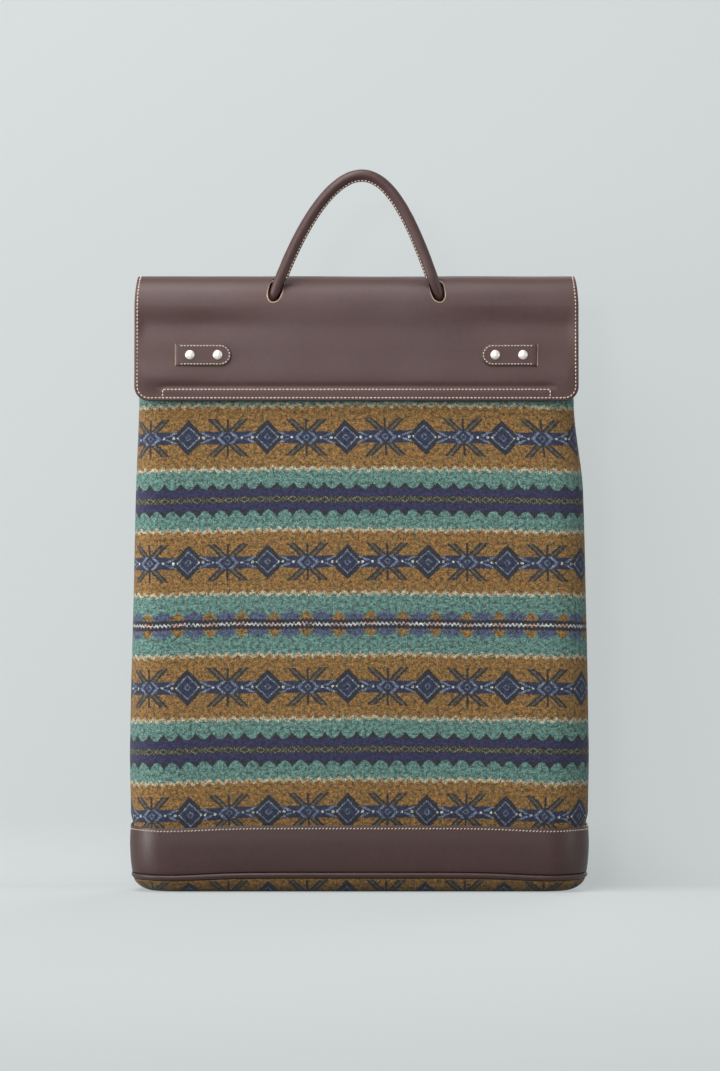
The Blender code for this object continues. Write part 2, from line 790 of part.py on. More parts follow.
def round_end_heights(start, end, radius, steps):
    """Heights from a strap's upper end to its lower end, closer together at the round upper end."""
    turns = spread_values(END_START, math.pi / 2.0, END_STEPS)
    upper = [start - radius * (1.0 - math.cos(turn)) for turn in turns]
    return upper + spread_values(upper[-1], end, steps)[1:]


def round_end_half_width(height, top, radius):
    """Half width near the round upper end of a strap."""
    from_end = top - height
    if from_end >= radius:
        return radius
    return math.sqrt(radius * radius - (radius - from_end) ** 2)


def add_shoulder_strap(name, side):
    """Shoulder strap from the yoke to the stud, narrower at its lower end."""
    radius = STRAP_WIDTH / 2.0
    stations = []
    for height in round_end_heights(STRAP_TOP, STRAP_END, radius, STRAP_STEPS):
        half_width = round_end_half_width(height, STRAP_TOP, radius)
        narrowing = smooth_share(height, TAIL_TOP, TAIL_TOP + STRAP_WIDTH)
        half_width -= (STRAP_WIDTH - STRAP_END_WIDTH) / 2.0 * (1.0 - narrowing)
        stations.append(strap_station(side, height, GAP + STRAP_THICKNESS / 2.0, half_width))
    strap = ribbon(f"shoulder_strap_{name}", stations, STRAP_THICKNESS, LEATHER_BROWN)
    for place, height, radius in (
        ("upper", STRAP_RIVET_UPPER, RIVET_SHANK),
        ("lower", STRAP_RIVET_LOWER, RIVET_SHANK),
        ("stud", STUD_HEIGHT, STUD_POST_RADIUS),
    ):
        hole = circle_outline(radius + GAP)
        cutter = f"strap_cutter_{name}_{place}"
        cut(strap, cutter, hole, -STRAP_THICKNESS, 2.0 * STRAP_THICKNESS, strap_frame(side, height))
    return strap


def tail_lift(height):
    """Distance from the strap's line to the middle of the tail, which laps over the shoulder strap."""
    resting = GAP + TAIL_THICKNESS / 2.0
    lapped = GAP + STRAP_THICKNESS + resting
    return lerp(resting, lapped, smooth_share(height, STRAP_END - GAP - TAIL_DROP, STRAP_END - GAP))


def add_strap_tail(name, side):
    """Narrow strap from the base band up to the stud, with holes to set its length."""
    radius = TAIL_WIDTH / 2.0
    stations = []
    for height in round_end_heights(TAIL_TOP, TAIL_FOOT, radius, STRAP_STEPS):
        half_width = round_end_half_width(height, TAIL_TOP, radius)
        stations.append(strap_station(side, height, tail_lift(height), half_width))
    tail = ribbon(f"strap_tail_{name}", stations, TAIL_THICKNESS, LEATHER_BROWN)
    hole = circle_outline(STUD_POST_RADIUS + GAP)
    for number in range(TAIL_HOLES):
        height = STUD_HEIGHT + (number - TAIL_HOLES // 2) * TAIL_HOLE_PITCH
        placing = strap_frame(side, height) @ Matrix.Translation((0.0, 0.0, tail_lift(height)))
        cut(tail, f"tail_cutter_{name}_{number + 1}", hole, -TAIL_THICKNESS, TAIL_THICKNESS, placing)
    return tail


def add_strap_stud(name, side):
    """Ball stud through the shoulder strap, on which the tail is buttoned."""
    foot = -STUD_FOOT_THICKNESS
    ball = 2.0 * GAP + STRAP_THICKNESS + TAIL_THICKNESS + GAP + STUD_BALL_RADIUS
    profile = [(STUD_FOOT_RADIUS, foot), (STUD_FOOT_RADIUS, 0.0), (STUD_POST_RADIUS, 0.0)]
    first = math.asin(STUD_POST_RADIUS / STUD_BALL_RADIUS)
    for turn in spread_values(math.pi - first, 0.35, 6):
        profile.append((STUD_BALL_RADIUS * math.sin(turn), ball + STUD_BALL_RADIUS * math.cos(turn)))
    return turned(f"strap_stud_{name}", profile, strap_frame(side, STUD_HEIGHT), NICKEL)


def add_strap_rivets(name, side):
    """Two rivets that fasten a shoulder strap to the yoke."""
    for place, height in (("upper", STRAP_RIVET_UPPER), ("lower", STRAP_RIVET_LOWER)):
        top = strap_frame(side, height) @ Matrix.Translation((0.0, 0.0, GAP + STRAP_THICKNESS))
        add_rivet(f"strap_rivet_{name}_{place}", top, STRAP_THICKNESS + GAP + LEATHER)


# Assembly


def add_pivot(name, place):
    """Empty on a joint's axis."""
    pivot = bpy.data.objects.new(name, None)
    pivot.location = place
    bpy.context.scene.collection.objects.link(pivot)
    return pivot


def hold(parts, carrier):
    """Hangs pieces on an empty without moving them."""
    bpy.context.view_layer.update()
    for part in parts:
        part.parent = carrier
        part.matrix_parent_inverse = carrier.matrix_world.inverted()


def add_body():
    """Everything that stands still with the bag."""
    add_wool_panel("front_panel", -1.0)
    add_wool_panel("back_panel", 1.0)
    add_lining()
    add_base_panel()
    add_base_board()
    add_base_piping()
    add_base_band()
    add_mouth_binding()
    add_yoke()
    for name, side in (("left", -1.0), ("right", 1.0)):
        add_shoulder_strap(name, side)
        add_strap_tail(name, side)
        add_strap_stud(name, side)
        add_strap_rivets(name, side)


def add_flap_group():
    """Flap and what it carries, with the handle on its own pivot."""
    flap_hinge = add_pivot("flap_hinge", hinge_point())
    parts = [add_flap(), add_stiffener()]
    for name, side in (("left", -1.0), ("right", 1.0)):
        parts.append(add_tab(name, side))
        parts += add_tab_rivets(name, side)
        parts.append(add_handle_loop(name, side))
        placing = fold_face(side * HANDLE_SPREAD / 2.0, LOOP_RIVET_ANGLE)
        parts.append(add_rivet(f"handle_rivet_{name}", placing, LEATHER + GAP + LOOP_THICKNESS))
    handle_pivot_point = add_pivot("handle_pivot", handle_pivot())
    hold(parts, flap_hinge)
    hold([add_handle()], handle_pivot_point)
    hold([handle_pivot_point], flap_hinge)


def main():
    """Clears the scene and builds the bag."""
    for old in list(bpy.data.objects):
        bpy.data.objects.remove(old)
    add_body()
    add_flap_group()


main()
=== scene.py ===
"""Looks of a tall wool backpack with a leather flap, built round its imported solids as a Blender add-on.

Lengths are in metres. The bag stands on z = 0 with its front towards -Y, and left is -X seen from the front.
"""

import math

import bmesh
import bpy
import numpy as np
from bpy.props import FloatProperty, FloatVectorProperty, PointerProperty
from bpy.types import Operator, Panel, PropertyGroup
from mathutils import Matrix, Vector, noise


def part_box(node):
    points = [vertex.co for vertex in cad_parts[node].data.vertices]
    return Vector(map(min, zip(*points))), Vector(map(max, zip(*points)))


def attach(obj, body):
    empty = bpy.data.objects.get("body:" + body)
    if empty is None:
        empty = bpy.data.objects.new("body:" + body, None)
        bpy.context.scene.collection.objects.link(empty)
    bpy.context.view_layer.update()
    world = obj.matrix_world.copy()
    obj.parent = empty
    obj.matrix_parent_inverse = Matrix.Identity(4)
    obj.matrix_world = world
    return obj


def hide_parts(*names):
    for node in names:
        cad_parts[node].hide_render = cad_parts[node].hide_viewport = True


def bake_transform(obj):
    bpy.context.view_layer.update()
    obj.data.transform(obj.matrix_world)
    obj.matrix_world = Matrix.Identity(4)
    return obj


bl_info = {
    "name": "Wool backpack with leather flap",
    "version": (1, 0, 0),
    "blender": (4, 5, 0),
    "location": "3D View > Sidebar > Backpack",
    "description": "Builds the wool, leather, metal and stage of a flap backpack",
    "category": "Object",
}

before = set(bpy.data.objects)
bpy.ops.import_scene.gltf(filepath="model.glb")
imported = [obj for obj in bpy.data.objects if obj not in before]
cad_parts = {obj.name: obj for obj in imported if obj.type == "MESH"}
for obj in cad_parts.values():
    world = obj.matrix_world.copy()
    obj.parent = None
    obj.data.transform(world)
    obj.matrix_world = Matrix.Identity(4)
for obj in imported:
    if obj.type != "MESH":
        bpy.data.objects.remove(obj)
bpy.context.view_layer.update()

# Outline of the body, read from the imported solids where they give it
BAND_LOW, BAND_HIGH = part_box("base_band")
PANEL_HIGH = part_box("front_panel")[1]
HALF_WIDTH = BAND_HIGH.x
HALF_DEPTH = BAND_HIGH.y
BAND_TOP = BAND_HIGH.z
BAND_FOOT = BAND_LOW.z
MOUTH_HEIGHT = PANEL_HIGH.z
MOUTH_HALF_WIDTH = 0.195
MOUTH_HALF_DEPTH = 0.022
BASE_CORNER = 0.038
MOUTH_CORNER = 0.020
BASE_TUCK = 0.0065
TUCK_HEIGHT = 0.035
GAP = 0.0003
CLOTH = 0.003
LINING = 0.001
FLOOR_INSET = 0.014
BAND_THICKNESS = 0.002
BAND_SWELL = 0.0007
CLOTH_EASE = 0.012
PIPING_RADIUS = 0.0027
PIPING_HEIGHT = 0.0155
PIPING_INSET = 0.0014
PAN_TOP = 0.0125
# Height in the knitted pattern at the pan's lowest edge
PAN_PATTERN = 0.0785

# Soft shape of the wool: lumps and wrinkles, and the drop of the pattern's rows at the sides
HALF_SPAN = 0.2
LUMP_LENGTH = 0.075
LUMP_RISE = 0.0012
SIDE_LUMP_RISE = 0.0006
WRINKLE_LENGTH = 0.035
WRINKLE_RISE = 0.0004
ROW_DROP = 0.0027
CLOTH_BEND = 0.016

# Flap, fold and yoke
LEATHER = 0.0028
HINGE_HEIGHT = 0.526
STANDOFF = 0.0018
FOLD_Y = -0.00175
FOLD_RADIUS = 0.0280105
FRONT_ANGLE = math.radians(177.771)
FLAP_HALF_WIDTH = 0.2002
FLAP_TOP_HALF_WIDTH = 0.1977
FLAP_FOOT = 0.4422
FLAP_CORNER = 0.013
YOKE_FOOT = 0.425
YOKE_HALF_WIDTH = 0.178
YOKE_TAPER = 0.045
YOKE_CORNER = 0.020
SLOT_ANGLE = math.radians(143.0)
# Corners of the right slot, across and up from its middle: straight outside, slanted inside
SLOT_CORNERS = (
    (-0.0062, 0.0140), (0.0022, 0.0140), (0.0058, 0.0085), (0.0069, 0.0030), (0.0078, -0.0045),
    (0.0075, -0.0088), (0.0050, -0.0125), (0.0004, -0.0125), (-0.0034, -0.0102), (-0.0058, -0.0045),
    (-0.0072, 0.0020), (-0.0083, 0.0080), (-0.0081, 0.0120),
)
STRIP_HALF_LENGTH = 0.1745
STRIP_TOP = 0.4532
STRIP_BEHIND = (0.4415, 0.4565)
STRIP_LIFT = 0.0005
YOKE_ROWS = 44
STITCH_MARGIN = 0.0027

# Soft relief of the flap's front: a valley, a swell below it, a crease over the strip and the fold's crown
VALLEY_HEIGHT = 0.5075
VALLEY_REACH = 0.0120
VALLEY_DEPTH = 0.0008
VALLEY_SIDE_DEPTH = 0.0016
SWELL_HEIGHT = 0.4645
SWELL_REACH = 0.0135
SWELL_RISE = 0.0009
SWELL_SIDE_RISE = 0.0004
CREASE_HEIGHT = 0.4551
CREASE_REACH = 0.0024
CREASE_DEPTH = 0.0012
CROWN_RISE = 0.0018
# Local dents and a bulge as depth, place across, reach across, height and reach up
DENTS = ((0.0007, 0.118, 0.040, 0.519, 0.012), (0.0005, -0.125, 0.035, 0.514, 0.010))
BULGE = (0.0011, -0.172, 0.035, 0.4640, 0.0105)

# Closing tabs and rivets
TAB_SLIT = 0.1618
TAB_LENGTH = 0.0492
TAB_HALF_WIDTH = 0.010
TAB_THICKNESS = 0.002
TAB_BEND = 0.0012
TAB_TAIL = 0.014
TAB_HEIGHT = 0.4835
TAB_RIVETS = (0.1250, 0.1500)
RIVET_RADIUS = 0.0043
RIVET_DOME = 0.0021
RIVET_RIM = 0.0003
RIVET_SHANK = 0.0016
BURR_RADIUS = 0.0032
BURR_THICKNESS = 0.0012

# Handle and its loops
HANDLE_TOP = 0.6464
HANDLE_HALF_SPREAD = 0.0774
HANDLE_RADIUS = 0.0046
HANDLE_END_RADIUS = 0.004
HANDLE_FORWARD = 0.0103
HANDLE_BEND_RISE = 0.030
HANDLE_LEAN = 0.005
HANDLE_FLARE = 0.008
PIVOT_Y = -0.01721
PIVOT_Z = 0.529
SEAM_HEIGHT = 0.00204
LOOP_THICKNESS = 0.0022
LOOP_HALF_WIDTH = 0.007
LOOP_RIVET_ANGLE = math.radians(60.0)

# Shoulder straps
STRAP_HALF_WIDTH = 0.016
STRAP_THICKNESS = 0.004
STRAP_TOP = 0.495
STRAP_END = 0.185
STRAP_END_HALF_WIDTH = 0.011
STRAP_TOP_X = 0.050
STRAP_FOOT_X = 0.150
STRAP_FREE_TOP = 0.440
STRAP_BOW = 0.040
TAIL_HALF_WIDTH = 0.010
TAIL_THICKNESS = 0.003
TAIL_TOP = 0.262
TAIL_FOOT = 0.026
TAIL_DROP = 0.045
TAIL_HOLE_PITCH = 0.018
# Raised rim of a hole as radius and height pairs
HOLE_RIM = ((0.0024, -0.0002), (0.0023, 0.00008), (0.0020, 0.00012), (0.0018, -0.0002))
STUD_HEIGHT = 0.223
STUD_BALL = 0.0036
STRAP_RIVETS = (0.483, 0.458)

# Stitches as length, width and height of the thread
BAND_STITCH = (0.0024, 0.0010, 0.0010)
TAB_STITCH = (0.0020, 0.00095, 0.0009)
HANDLE_STITCH = (0.0020, 0.0011, 0.0010)

# Knitted pattern, in millimetres
STAR_ROW = 297.6
STAR_PERIOD = 112.2
ZIGZAG_ROW = 241.5
ZIGZAG_PERIOD = 224.4
STAR_PITCH = 70.4
STAR_SHIFT = 10.4
SCALLOP_PITCH = 14.15
SCALLOP_SHIFT = 2.2
PATCH_PITCH = 28.3
PATCH_SHIFT = 9.9
LINK_PITCH = 14.14
STRAY = 2.2
DRIFT = 3.0

# Speckled finishes: name, roughness, metal, fineness, spread of the colour and strength of the relief
SPECKLED = {
    "thread": ("Waxed thread", 0.55, 0.0, 2500.0, 0.12, 0.5),
    "board": ("Fibreboard", 0.85, 0.0, 900.0, 0.25, 0.3),
    "nickel": ("Nickel", 0.33, 0.55, 400.0, 0.05, 0.05),
}

# Stage: softboxes as name, place, target, size and watts, then camera, backdrop and surroundings
SOFTBOXES = (
    ("Key softbox", (-0.65, -1.10, 1.85), (0.0, 0.0, 0.45), 1.2, 28.0),
    ("Front softbox", (-0.75, -3.8, 1.20), (0.0, 0.0, 0.34), 0.60, 36.0),
    ("Top softbox", (-0.30, -0.35, 2.00), (0.0, 0.0, 0.50), 1.0, 14.0),
    ("Left softbox", (-2.20, -0.70, 0.45), (0.0, 0.0, 0.25), 0.8, 38.0),
    ("Right softbox", (2.20, -0.90, 0.50), (0.0, 0.0, 0.25), 0.8, 10.0),
    ("Back softbox", (0.9, 2.6, 1.6), (0.0, 0.0, 0.30), 1.2, 60.0),
)
CAMERA_PLACE = (0.0032, -5.0, 0.3209)
CAMERA_LENS = 185.4
CAMERA_SENSOR = 36.0
STAGE_HALF_WIDTH = 6.0
STAGE_REACH = 7.0
WALL_TOP = 5.0
SWEEP_START = 0.05
SWEEP_RADIUS = 0.06
FLOOR_DROP = 0.0002
WALL_SHADE = 0.18
FLOOR_SHADE = 0.30
WALL_GLOW = 0.79
FLOOR_GLOW = 0.61
SURROUNDINGS = (0.95, 0.98, 1.0)
SURROUNDINGS_STRENGTH = 0.28

SIDES = (("left", -1.0), ("right", 1.0))


# Small sums


def lerp(start, end, share):
    """Value between two others."""
    return start + (end - start) * share


def smooth_share(value, start, end):
    """Eased share of the way from start to end, held at 0 and 1 beyond them."""
    share = np.clip((np.asarray(value, float) - start) / (end - start), 0.0, 1.0)
    return share * share * (3.0 - 2.0 * share)


def hump(value, centre, width):
    """Bell curve of height 1."""
    return np.exp(-(((np.asarray(value, float) - centre) / width) ** 2))


def local_hump(x, z, size, across, across_reach, height, height_reach):
    """Round dent or bulge at a place on the flap's front."""
    return size * hump(x, across, across_reach) * hump(z, height, height_reach)


def unit(vectors):
    """Vectors scaled to length 1."""
    return vectors / np.maximum(np.linalg.norm(vectors, axis=-1, keepdims=True), 1e-12)


def rough_field(points, size, seed):
    """Smooth random values from about -1 to 1 over points, with lumps of a given size."""
    scaled = np.asarray(points, float) / size
    return np.array([noise.noise(Vector((x + seed, y - seed, z + 2.0 * seed))) for x, y, z in scaled])


# Mesh making


def add_piece(name, points, faces, look, body, nodes=(), slot="leather", uvs=None, sharp=40.0):
    """Mesh object that rides on a body and stands for solids of the frame."""
    mesh = bpy.data.meshes.new(name)
    mesh.from_pydata(np.asarray(points, float).tolist(), [], [list(map(int, face)) for face in faces])
    mesh.update()
    if uvs is not None:
        layer = mesh.uv_layers.new(name="knit")
        corners = np.zeros(len(mesh.loops), np.int32)
        mesh.loops.foreach_get("vertex_index", corners)
        layer.data.foreach_set("uv", np.asarray(uvs, np.float32)[corners].ravel())
    shape = bmesh.new()
    shape.from_mesh(mesh)
    bmesh.ops.recalc_face_normals(shape, faces=shape.faces)
    shape.to_mesh(mesh)
    shape.free()
    mesh.shade_smooth()
    mesh.set_sharp_from_angle(angle=math.radians(sharp))
    mesh.materials.append(look)
    piece = bpy.data.objects.new(name, mesh)
    bpy.context.scene.collection.objects.link(piece)
    if nodes:
        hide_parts(*nodes)
    if body:
        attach(piece, body)
    return piece


def loft_faces(count, size, closed=False, first=0):
    """Faces that join rings of points, with both end rings filled unless the row of rings is closed."""
    rows = np.arange(count if closed else count - 1)
    columns = np.arange(size)
    row, column = np.meshgrid(rows, columns, indexing="ij")
    following = (row + 1) % count
    beside = (column + 1) % size
    here, onward = row * size, following * size
    quads = np.stack((here + column, here + beside, onward + beside, onward + column), axis=-1)
    faces = (quads.reshape(-1, 4) + first).tolist()
    if not closed:
        faces.append([first + place for place in range(size)])
        faces.append([first + (count - 1) * size + place for place in range(size)])
    return faces


def add_loft(name, rings, look, body, closed=False, **extra):
    """Solid through rings of points."""
    rings = np.asarray(rings, float)
    faces = loft_faces(rings.shape[0], rings.shape[1], closed)
    return add_piece(name, rings.reshape(-1, 3), faces, look, body, **extra)


def strip_rings(stations, thickness, columns, edge, relief=None):
    """Rings of a flat strip with rounded edges, from its stations.

    A station holds a centre, a normal, a vector of the half width and the share of the full thickness.
    """
    across = np.linspace(-1.0, 1.0, columns)
    turns = np.linspace(math.pi / 2.0, -math.pi / 2.0, 7)[1:-1]
    rings = []
    for centre, normal, half_width, fullness in stations:
        centre = np.asarray(centre, float)
        normal = np.asarray(normal, float)
        half_width = np.asarray(half_width, float)
        reach = np.linalg.norm(half_width)
        side = half_width / reach
        rounding = min(edge, 0.9 * reach)
        flat = reach - rounding
        half = thickness / 2.0 * fullness
        outer = centre + np.outer(across * flat, side) + normal * half
        inner = centre + np.outer(across[::-1] * flat, side) - normal * half
        round_side = np.outer(flat + rounding * np.cos(turns), side)
        round_up = np.outer(half * np.sin(turns), normal)
        right = centre + round_side + round_up
        left = centre - round_side - round_up
        ring = np.concatenate((outer, right, inner, left))
        if relief is not None:
            ring = ring + np.outer(relief(ring), normal)
        rings.append(ring)
    return np.array(rings)


def add_strip(name, stations, thickness, look, body, columns=9, edge=0.0009, relief=None, **extra):
    """Flat leather strip with rounded edges."""
    return add_loft(name, strip_rings(stations, thickness, columns, edge, relief), look, body, **extra)


def neighbours(path, number):
    """Points before and after one of a path, or its own end point."""
    return path[max(0, number - 1)], path[min(len(path) - 1, number + 1)]


def round_end(distance, radius):
    """Half width of a strip near its round end, at a distance from the tip."""
    if distance >= radius:
        return radius
    return math.sqrt(max(0.0, radius**2 - (radius - distance) ** 2))


def end_fullness(distance, edge):
    """Share of full thickness near a rounded end of a strip."""
    away = min(1.0, max(0.0, distance / edge))
    return math.sqrt(max(0.02, 1.0 - (1.0 - away) ** 2))


def turned_points(profile, sides):
    """Rings of a round solid from radius and height pairs."""
    turns = np.linspace(0.0, math.tau, sides, endpoint=False)
    return np.array([[(r * math.cos(t), r * math.sin(t), h) for t in turns] for r, h in profile])


def place_points(points, origin, across, up, normal):
    """Local points moved to a place given by its origin and three axes."""
    points = np.asarray(points, float)
    axes = np.stack((across, up, normal))
    return points @ axes + np.asarray(origin, float)


def tube_rings(path, radius, sides, closed=False):
    """Rings of a round tube along a path in space."""
    path = np.asarray(path, float)
    if closed:
        along = unit(np.roll(path, -1, axis=0) - np.roll(path, 1, axis=0))
    else:
        along = unit(np.gradient(path, axis=0))
    side = unit(np.cross(along, np.array([0.13, 0.31, 0.94])))
    other = np.cross(along, side)
    turns = np.linspace(0.0, math.tau, sides, endpoint=False)
    return path[:, None] + radius * (
        np.cos(turns)[None, :, None] * side[:, None] + np.sin(turns)[None, :, None] * other[:, None]
    )


def joined(parts):
    """Points and faces of several meshes as one."""
    points, faces = [], []
    count = 0
    for part_points, part_faces in parts:
        part_points = np.asarray(part_points, float).reshape(-1, 3)
        points.append(part_points)
        faces += [[int(place) + count for place in face] for face in part_faces]
        count += len(part_points)
    return np.concatenate(points), faces


# Stitches


def spaced(path, normals, pitch, closed=False):
    """Places at even distances along a path: centres, directions and normals."""
    path = np.asarray(path, float)
    normals = np.asarray(normals, float)
    if closed:
        path = np.vstack((path, path[:1]))
        normals = np.vstack((normals, normals[:1]))
    steps = np.linalg.norm(np.diff(path, axis=0), axis=1)
    travelled = np.concatenate(([0.0], np.cumsum(steps)))
    count = max(1, round(travelled[-1] / pitch))
    places = (np.arange(count) + 0.5) * travelled[-1] / count

    def at(values, distance):
        return np.stack([np.interp(distance, travelled, values[:, axis]) for axis in range(3)], axis=1)

    step = travelled[-1] * 0.0005
    along = unit(at(path, places + step) - at(path, places - step))
    return at(path, places), along, unit(at(normals, places))


def stitch_points(centres, along, normals, sizes, slant=0.0, seed=1.0):
    """Points and faces of thread stitches that dip into the leather at both ends."""
    length, width, height = sizes
    stations = np.array([-1.0, -0.72, -0.3, 0.3, 0.72, 1.0])
    girth = np.array([0.42, 0.86, 1.0, 1.0, 0.86, 0.42])
    turns = np.linspace(0.0, math.tau, 6, endpoint=False)
    template = []
    for station, size in zip(stations, girth):
        for turn in turns:
            sunk = -0.55 * height * station * station
            template.append((station, size * math.cos(turn), sunk / height + size * math.sin(turn)))
    template = np.array(template)
    side = unit(np.cross(normals, along))
    wobble = rough_field(centres, 0.0021, seed)
    lean = slant + 0.08 * wobble
    slanted = unit(along * np.cos(lean)[:, None] + side * np.sin(lean)[:, None])
    beside = np.cross(normals, slanted)
    reach = length / 2.0 * (1.0 + 0.10 * rough_field(centres, 0.0017, seed + 3.0))
    points = centres[:, None] + slanted[:, None] * (template[:, 0][None, :, None] * reach[:, None, None])
    points = points + beside[:, None] * (template[:, 1] * width / 2.0)[None, :, None]
    points = points + normals[:, None] * (template[:, 2] * height / 2.0)[None, :, None]
    faces = []
    for number in range(len(centres)):
        faces += loft_faces(len(stations), len(turns), first=number * len(template))
    return points.reshape(-1, 3), faces


def add_stitches(name, runs, body, slot="leather", slant=0.0, sizes=None, pitch=None):
    """Rows of thread stitches as one piece. Each run is a path, its normals and whether it is closed."""
    settings = bpy.context.scene.bag_sizes
    sizes = sizes or (settings.stitch_length, settings.stitch_width, settings.stitch_width * 0.9)
    parts = []
    for number, (path, normals, closed) in enumerate(runs):
        centres, along, facing = spaced(path, normals, pitch or settings.stitch_pitch, closed)
        parts.append(stitch_points(centres, along, facing, sizes, slant, 1.0 + number))
    points, faces = joined(parts)
    return add_piece(name, points, faces, looks()["thread"], body, slot=slot, sharp=80.0)


# Shape of the body


def outline(height):
    """Half width, half depth and corner radius of the body at a height."""
    share = max(0.0, (height - BAND_TOP) / (MOUTH_HEIGHT - BAND_TOP))
    tuck = BASE_TUCK * max(0.0, 1.0 - height / TUCK_HEIGHT) ** 2
    half_width = lerp(HALF_WIDTH, MOUTH_HALF_WIDTH, share) - tuck
    half_depth = lerp(HALF_DEPTH, MOUTH_HALF_DEPTH, share) - tuck
    return half_width, half_depth, min(lerp(BASE_CORNER, MOUTH_CORNER, share), half_depth - GAP)


def quarter_path(height, inset):
    """Path from the middle of the front round a corner to the side, with the distance travelled."""
    half_width, half_depth, corner = outline(height)
    radius = corner - inset
    turns = np.linspace(-math.pi / 2.0, 0.0, 17)
    x = half_width - corner + radius * np.cos(turns)
    y = -(half_depth - corner) + radius * np.sin(turns)
    x = np.concatenate(([0.0], x, [half_width - inset]))
    y = np.concatenate(([-(half_depth - inset)], y, [-GAP / 2.0]))
    travelled = np.concatenate(([0.0], np.cumsum(np.hypot(np.diff(x), np.diff(y)))))
    return x, y, travelled


def section(height, inset, shares, facing=-1.0):
    """Points across the front or back half for shares from -1 to 1, with their distance from the middle."""
    x, y, travelled = quarter_path(height, inset)
    shares = np.asarray(shares, float)
    distance = np.abs(shares) * travelled[-1]
    points = np.zeros((len(shares), 3))
    points[:, 0] = np.sign(shares) * np.interp(distance, travelled, x)
    points[:, 1] = -facing * np.interp(distance, travelled, y)
    points[:, 2] = height
    return points, shares * travelled[-1]


def cloth_inset(height):
    """Inset of the wool: behind the leather band at the base, and flush with the outline above it."""
    return lerp(BAND_THICKNESS + GAP, 0.0, float(smooth_share(height, BAND_TOP, BAND_TOP + CLOTH_EASE)))


def full_ring(height, inset, count):
    """Closed ring of points round the body, evenly spaced."""
    half = count // 2
    shares = np.linspace(-1.0, 1.0, half + 1)
    front = section(height, inset, shares, -1.0)[0]
    back = section(height, inset, shares, 1.0)[0]
    front[[0, -1], 1] = 0.0
    return np.concatenate((front, back[-2:0:-1]))


def slump(points):
    """Soft shape of the filled bag: its wool puffs out between base and flap, and sags a little."""
    sizes = bpy.context.scene.bag_sizes
    points = np.array(points, float)
    x, y, z = points[:, 0], points[:, 1], points[:, 2]
    share = (z - BAND_TOP) / (FLAP_FOOT - 0.006 - BAND_TOP)
    side = smooth_share(share, 0.0, 0.2) * (1.0 - smooth_share(share, 0.8, 1.0))
    middle = np.cos(np.clip(np.abs(x) / HALF_SPAN, 0, 1) * math.pi / 2)
    belly = np.sin(math.pi * np.clip(share, 0.0, 1.0)) ** 1.2 * middle
    sag = hump(z, 0.125, 0.05) * middle
    lumps = rough_field(points * np.array([1.0, 0.4, 0.8]), LUMP_LENGTH, 4.0)
    wrinkles = rough_field(points * np.array([0.5, 0.3, 1.2]), WRINKLE_LENGTH, 9.0)
    facing = np.clip(y / 0.012, -1.0, 1.0)
    puff = sizes.side_puff - sizes.base_spread + SIDE_LUMP_RISE * lumps
    points[:, 0] += np.clip(x / 0.16, -1.0, 1.0) * side * puff
    points = spread_foot(points)
    waves = LUMP_RISE * lumps + WRINKLE_RISE * wrinkles
    points[:, 1] += facing * (sizes.belly * (0.75 * belly + 0.25 * sag) + side * waves)
    return points


def spread_foot(points):
    """Foot and middle of the bag, a little wider and further right than its mouth, with hanging corners."""
    sizes = bpy.context.scene.bag_sizes
    points = np.array(points, float)
    share = 1.0 - smooth_share(points[..., 2], 0.36, 0.44)
    front = smooth_share(-points[..., 1], -0.010, 0.020)
    low = smooth_share(points[..., 2], 0.0, 0.015) * (1.0 - smooth_share(points[..., 2], 0.06, 0.16))
    drop = sizes.droop * hump(np.abs(points[..., 0]), 0.172, 0.045) * front * low
    points[..., 0] += share * (sizes.base_spread * np.clip(points[..., 0] / 0.16, -1.0, 1.0) + sizes.lean)
    points[..., 2] -= drop
    return points


def wool_uv(distance, points):
    """Pattern coordinates in metres: across from the middle, and up with its rows lower at the sides."""
    up = points[:, 2] + ROW_DROP * np.minimum(1.0, np.abs(distance) / HALF_SPAN) ** 2
    return np.stack((distance, up), axis=1)


def add_wool_half(name, facing, node):
    """Front or back half of the wool body as a soft shell."""
    columns = 118
    shares = np.linspace(-1.0, 1.0, columns)
    bend = BAND_TOP + CLOTH_BEND
    heights = np.concatenate((
        np.linspace(BAND_FOOT, BAND_TOP, 5)[:-1],
        np.linspace(BAND_TOP, bend, 7),
        np.linspace(bend, MOUTH_HEIGHT, 100)[1:],
    ))
    rings, uvs = [], []
    for height in heights:
        inset = cloth_inset(height)
        outer, distance = section(height, inset, shares, facing)
        inner, _ = section(height, inset + CLOTH, shares, facing)
        outer_uv = wool_uv(distance, outer)
        outer = slump(outer)
        inner = slump(inner)
        rings.append(np.concatenate((outer, inner[::-1])))
        uvs.append(np.concatenate((outer_uv, outer_uv[::-1])))
    uvs = np.concatenate(uvs)
    if facing > 0.0:
        uvs[:, 0] += 0.5
    return add_loft(name, rings, looks()["wool"], "bag", nodes=(node,), slot="wool", uvs=uvs)


def pan_profile(low, extra, steps):
    """Rounded lower edge as inset and height pairs, from the floor up to the piping."""
    pairs = []
    for turn in np.linspace(0.0, math.pi / 2.0, steps):
        inset = extra + FLOOR_INSET * (1.0 - math.sin(turn))
        pairs.append((inset, low + (PAN_TOP - low) * (1.0 - math.cos(turn))))
    return pairs


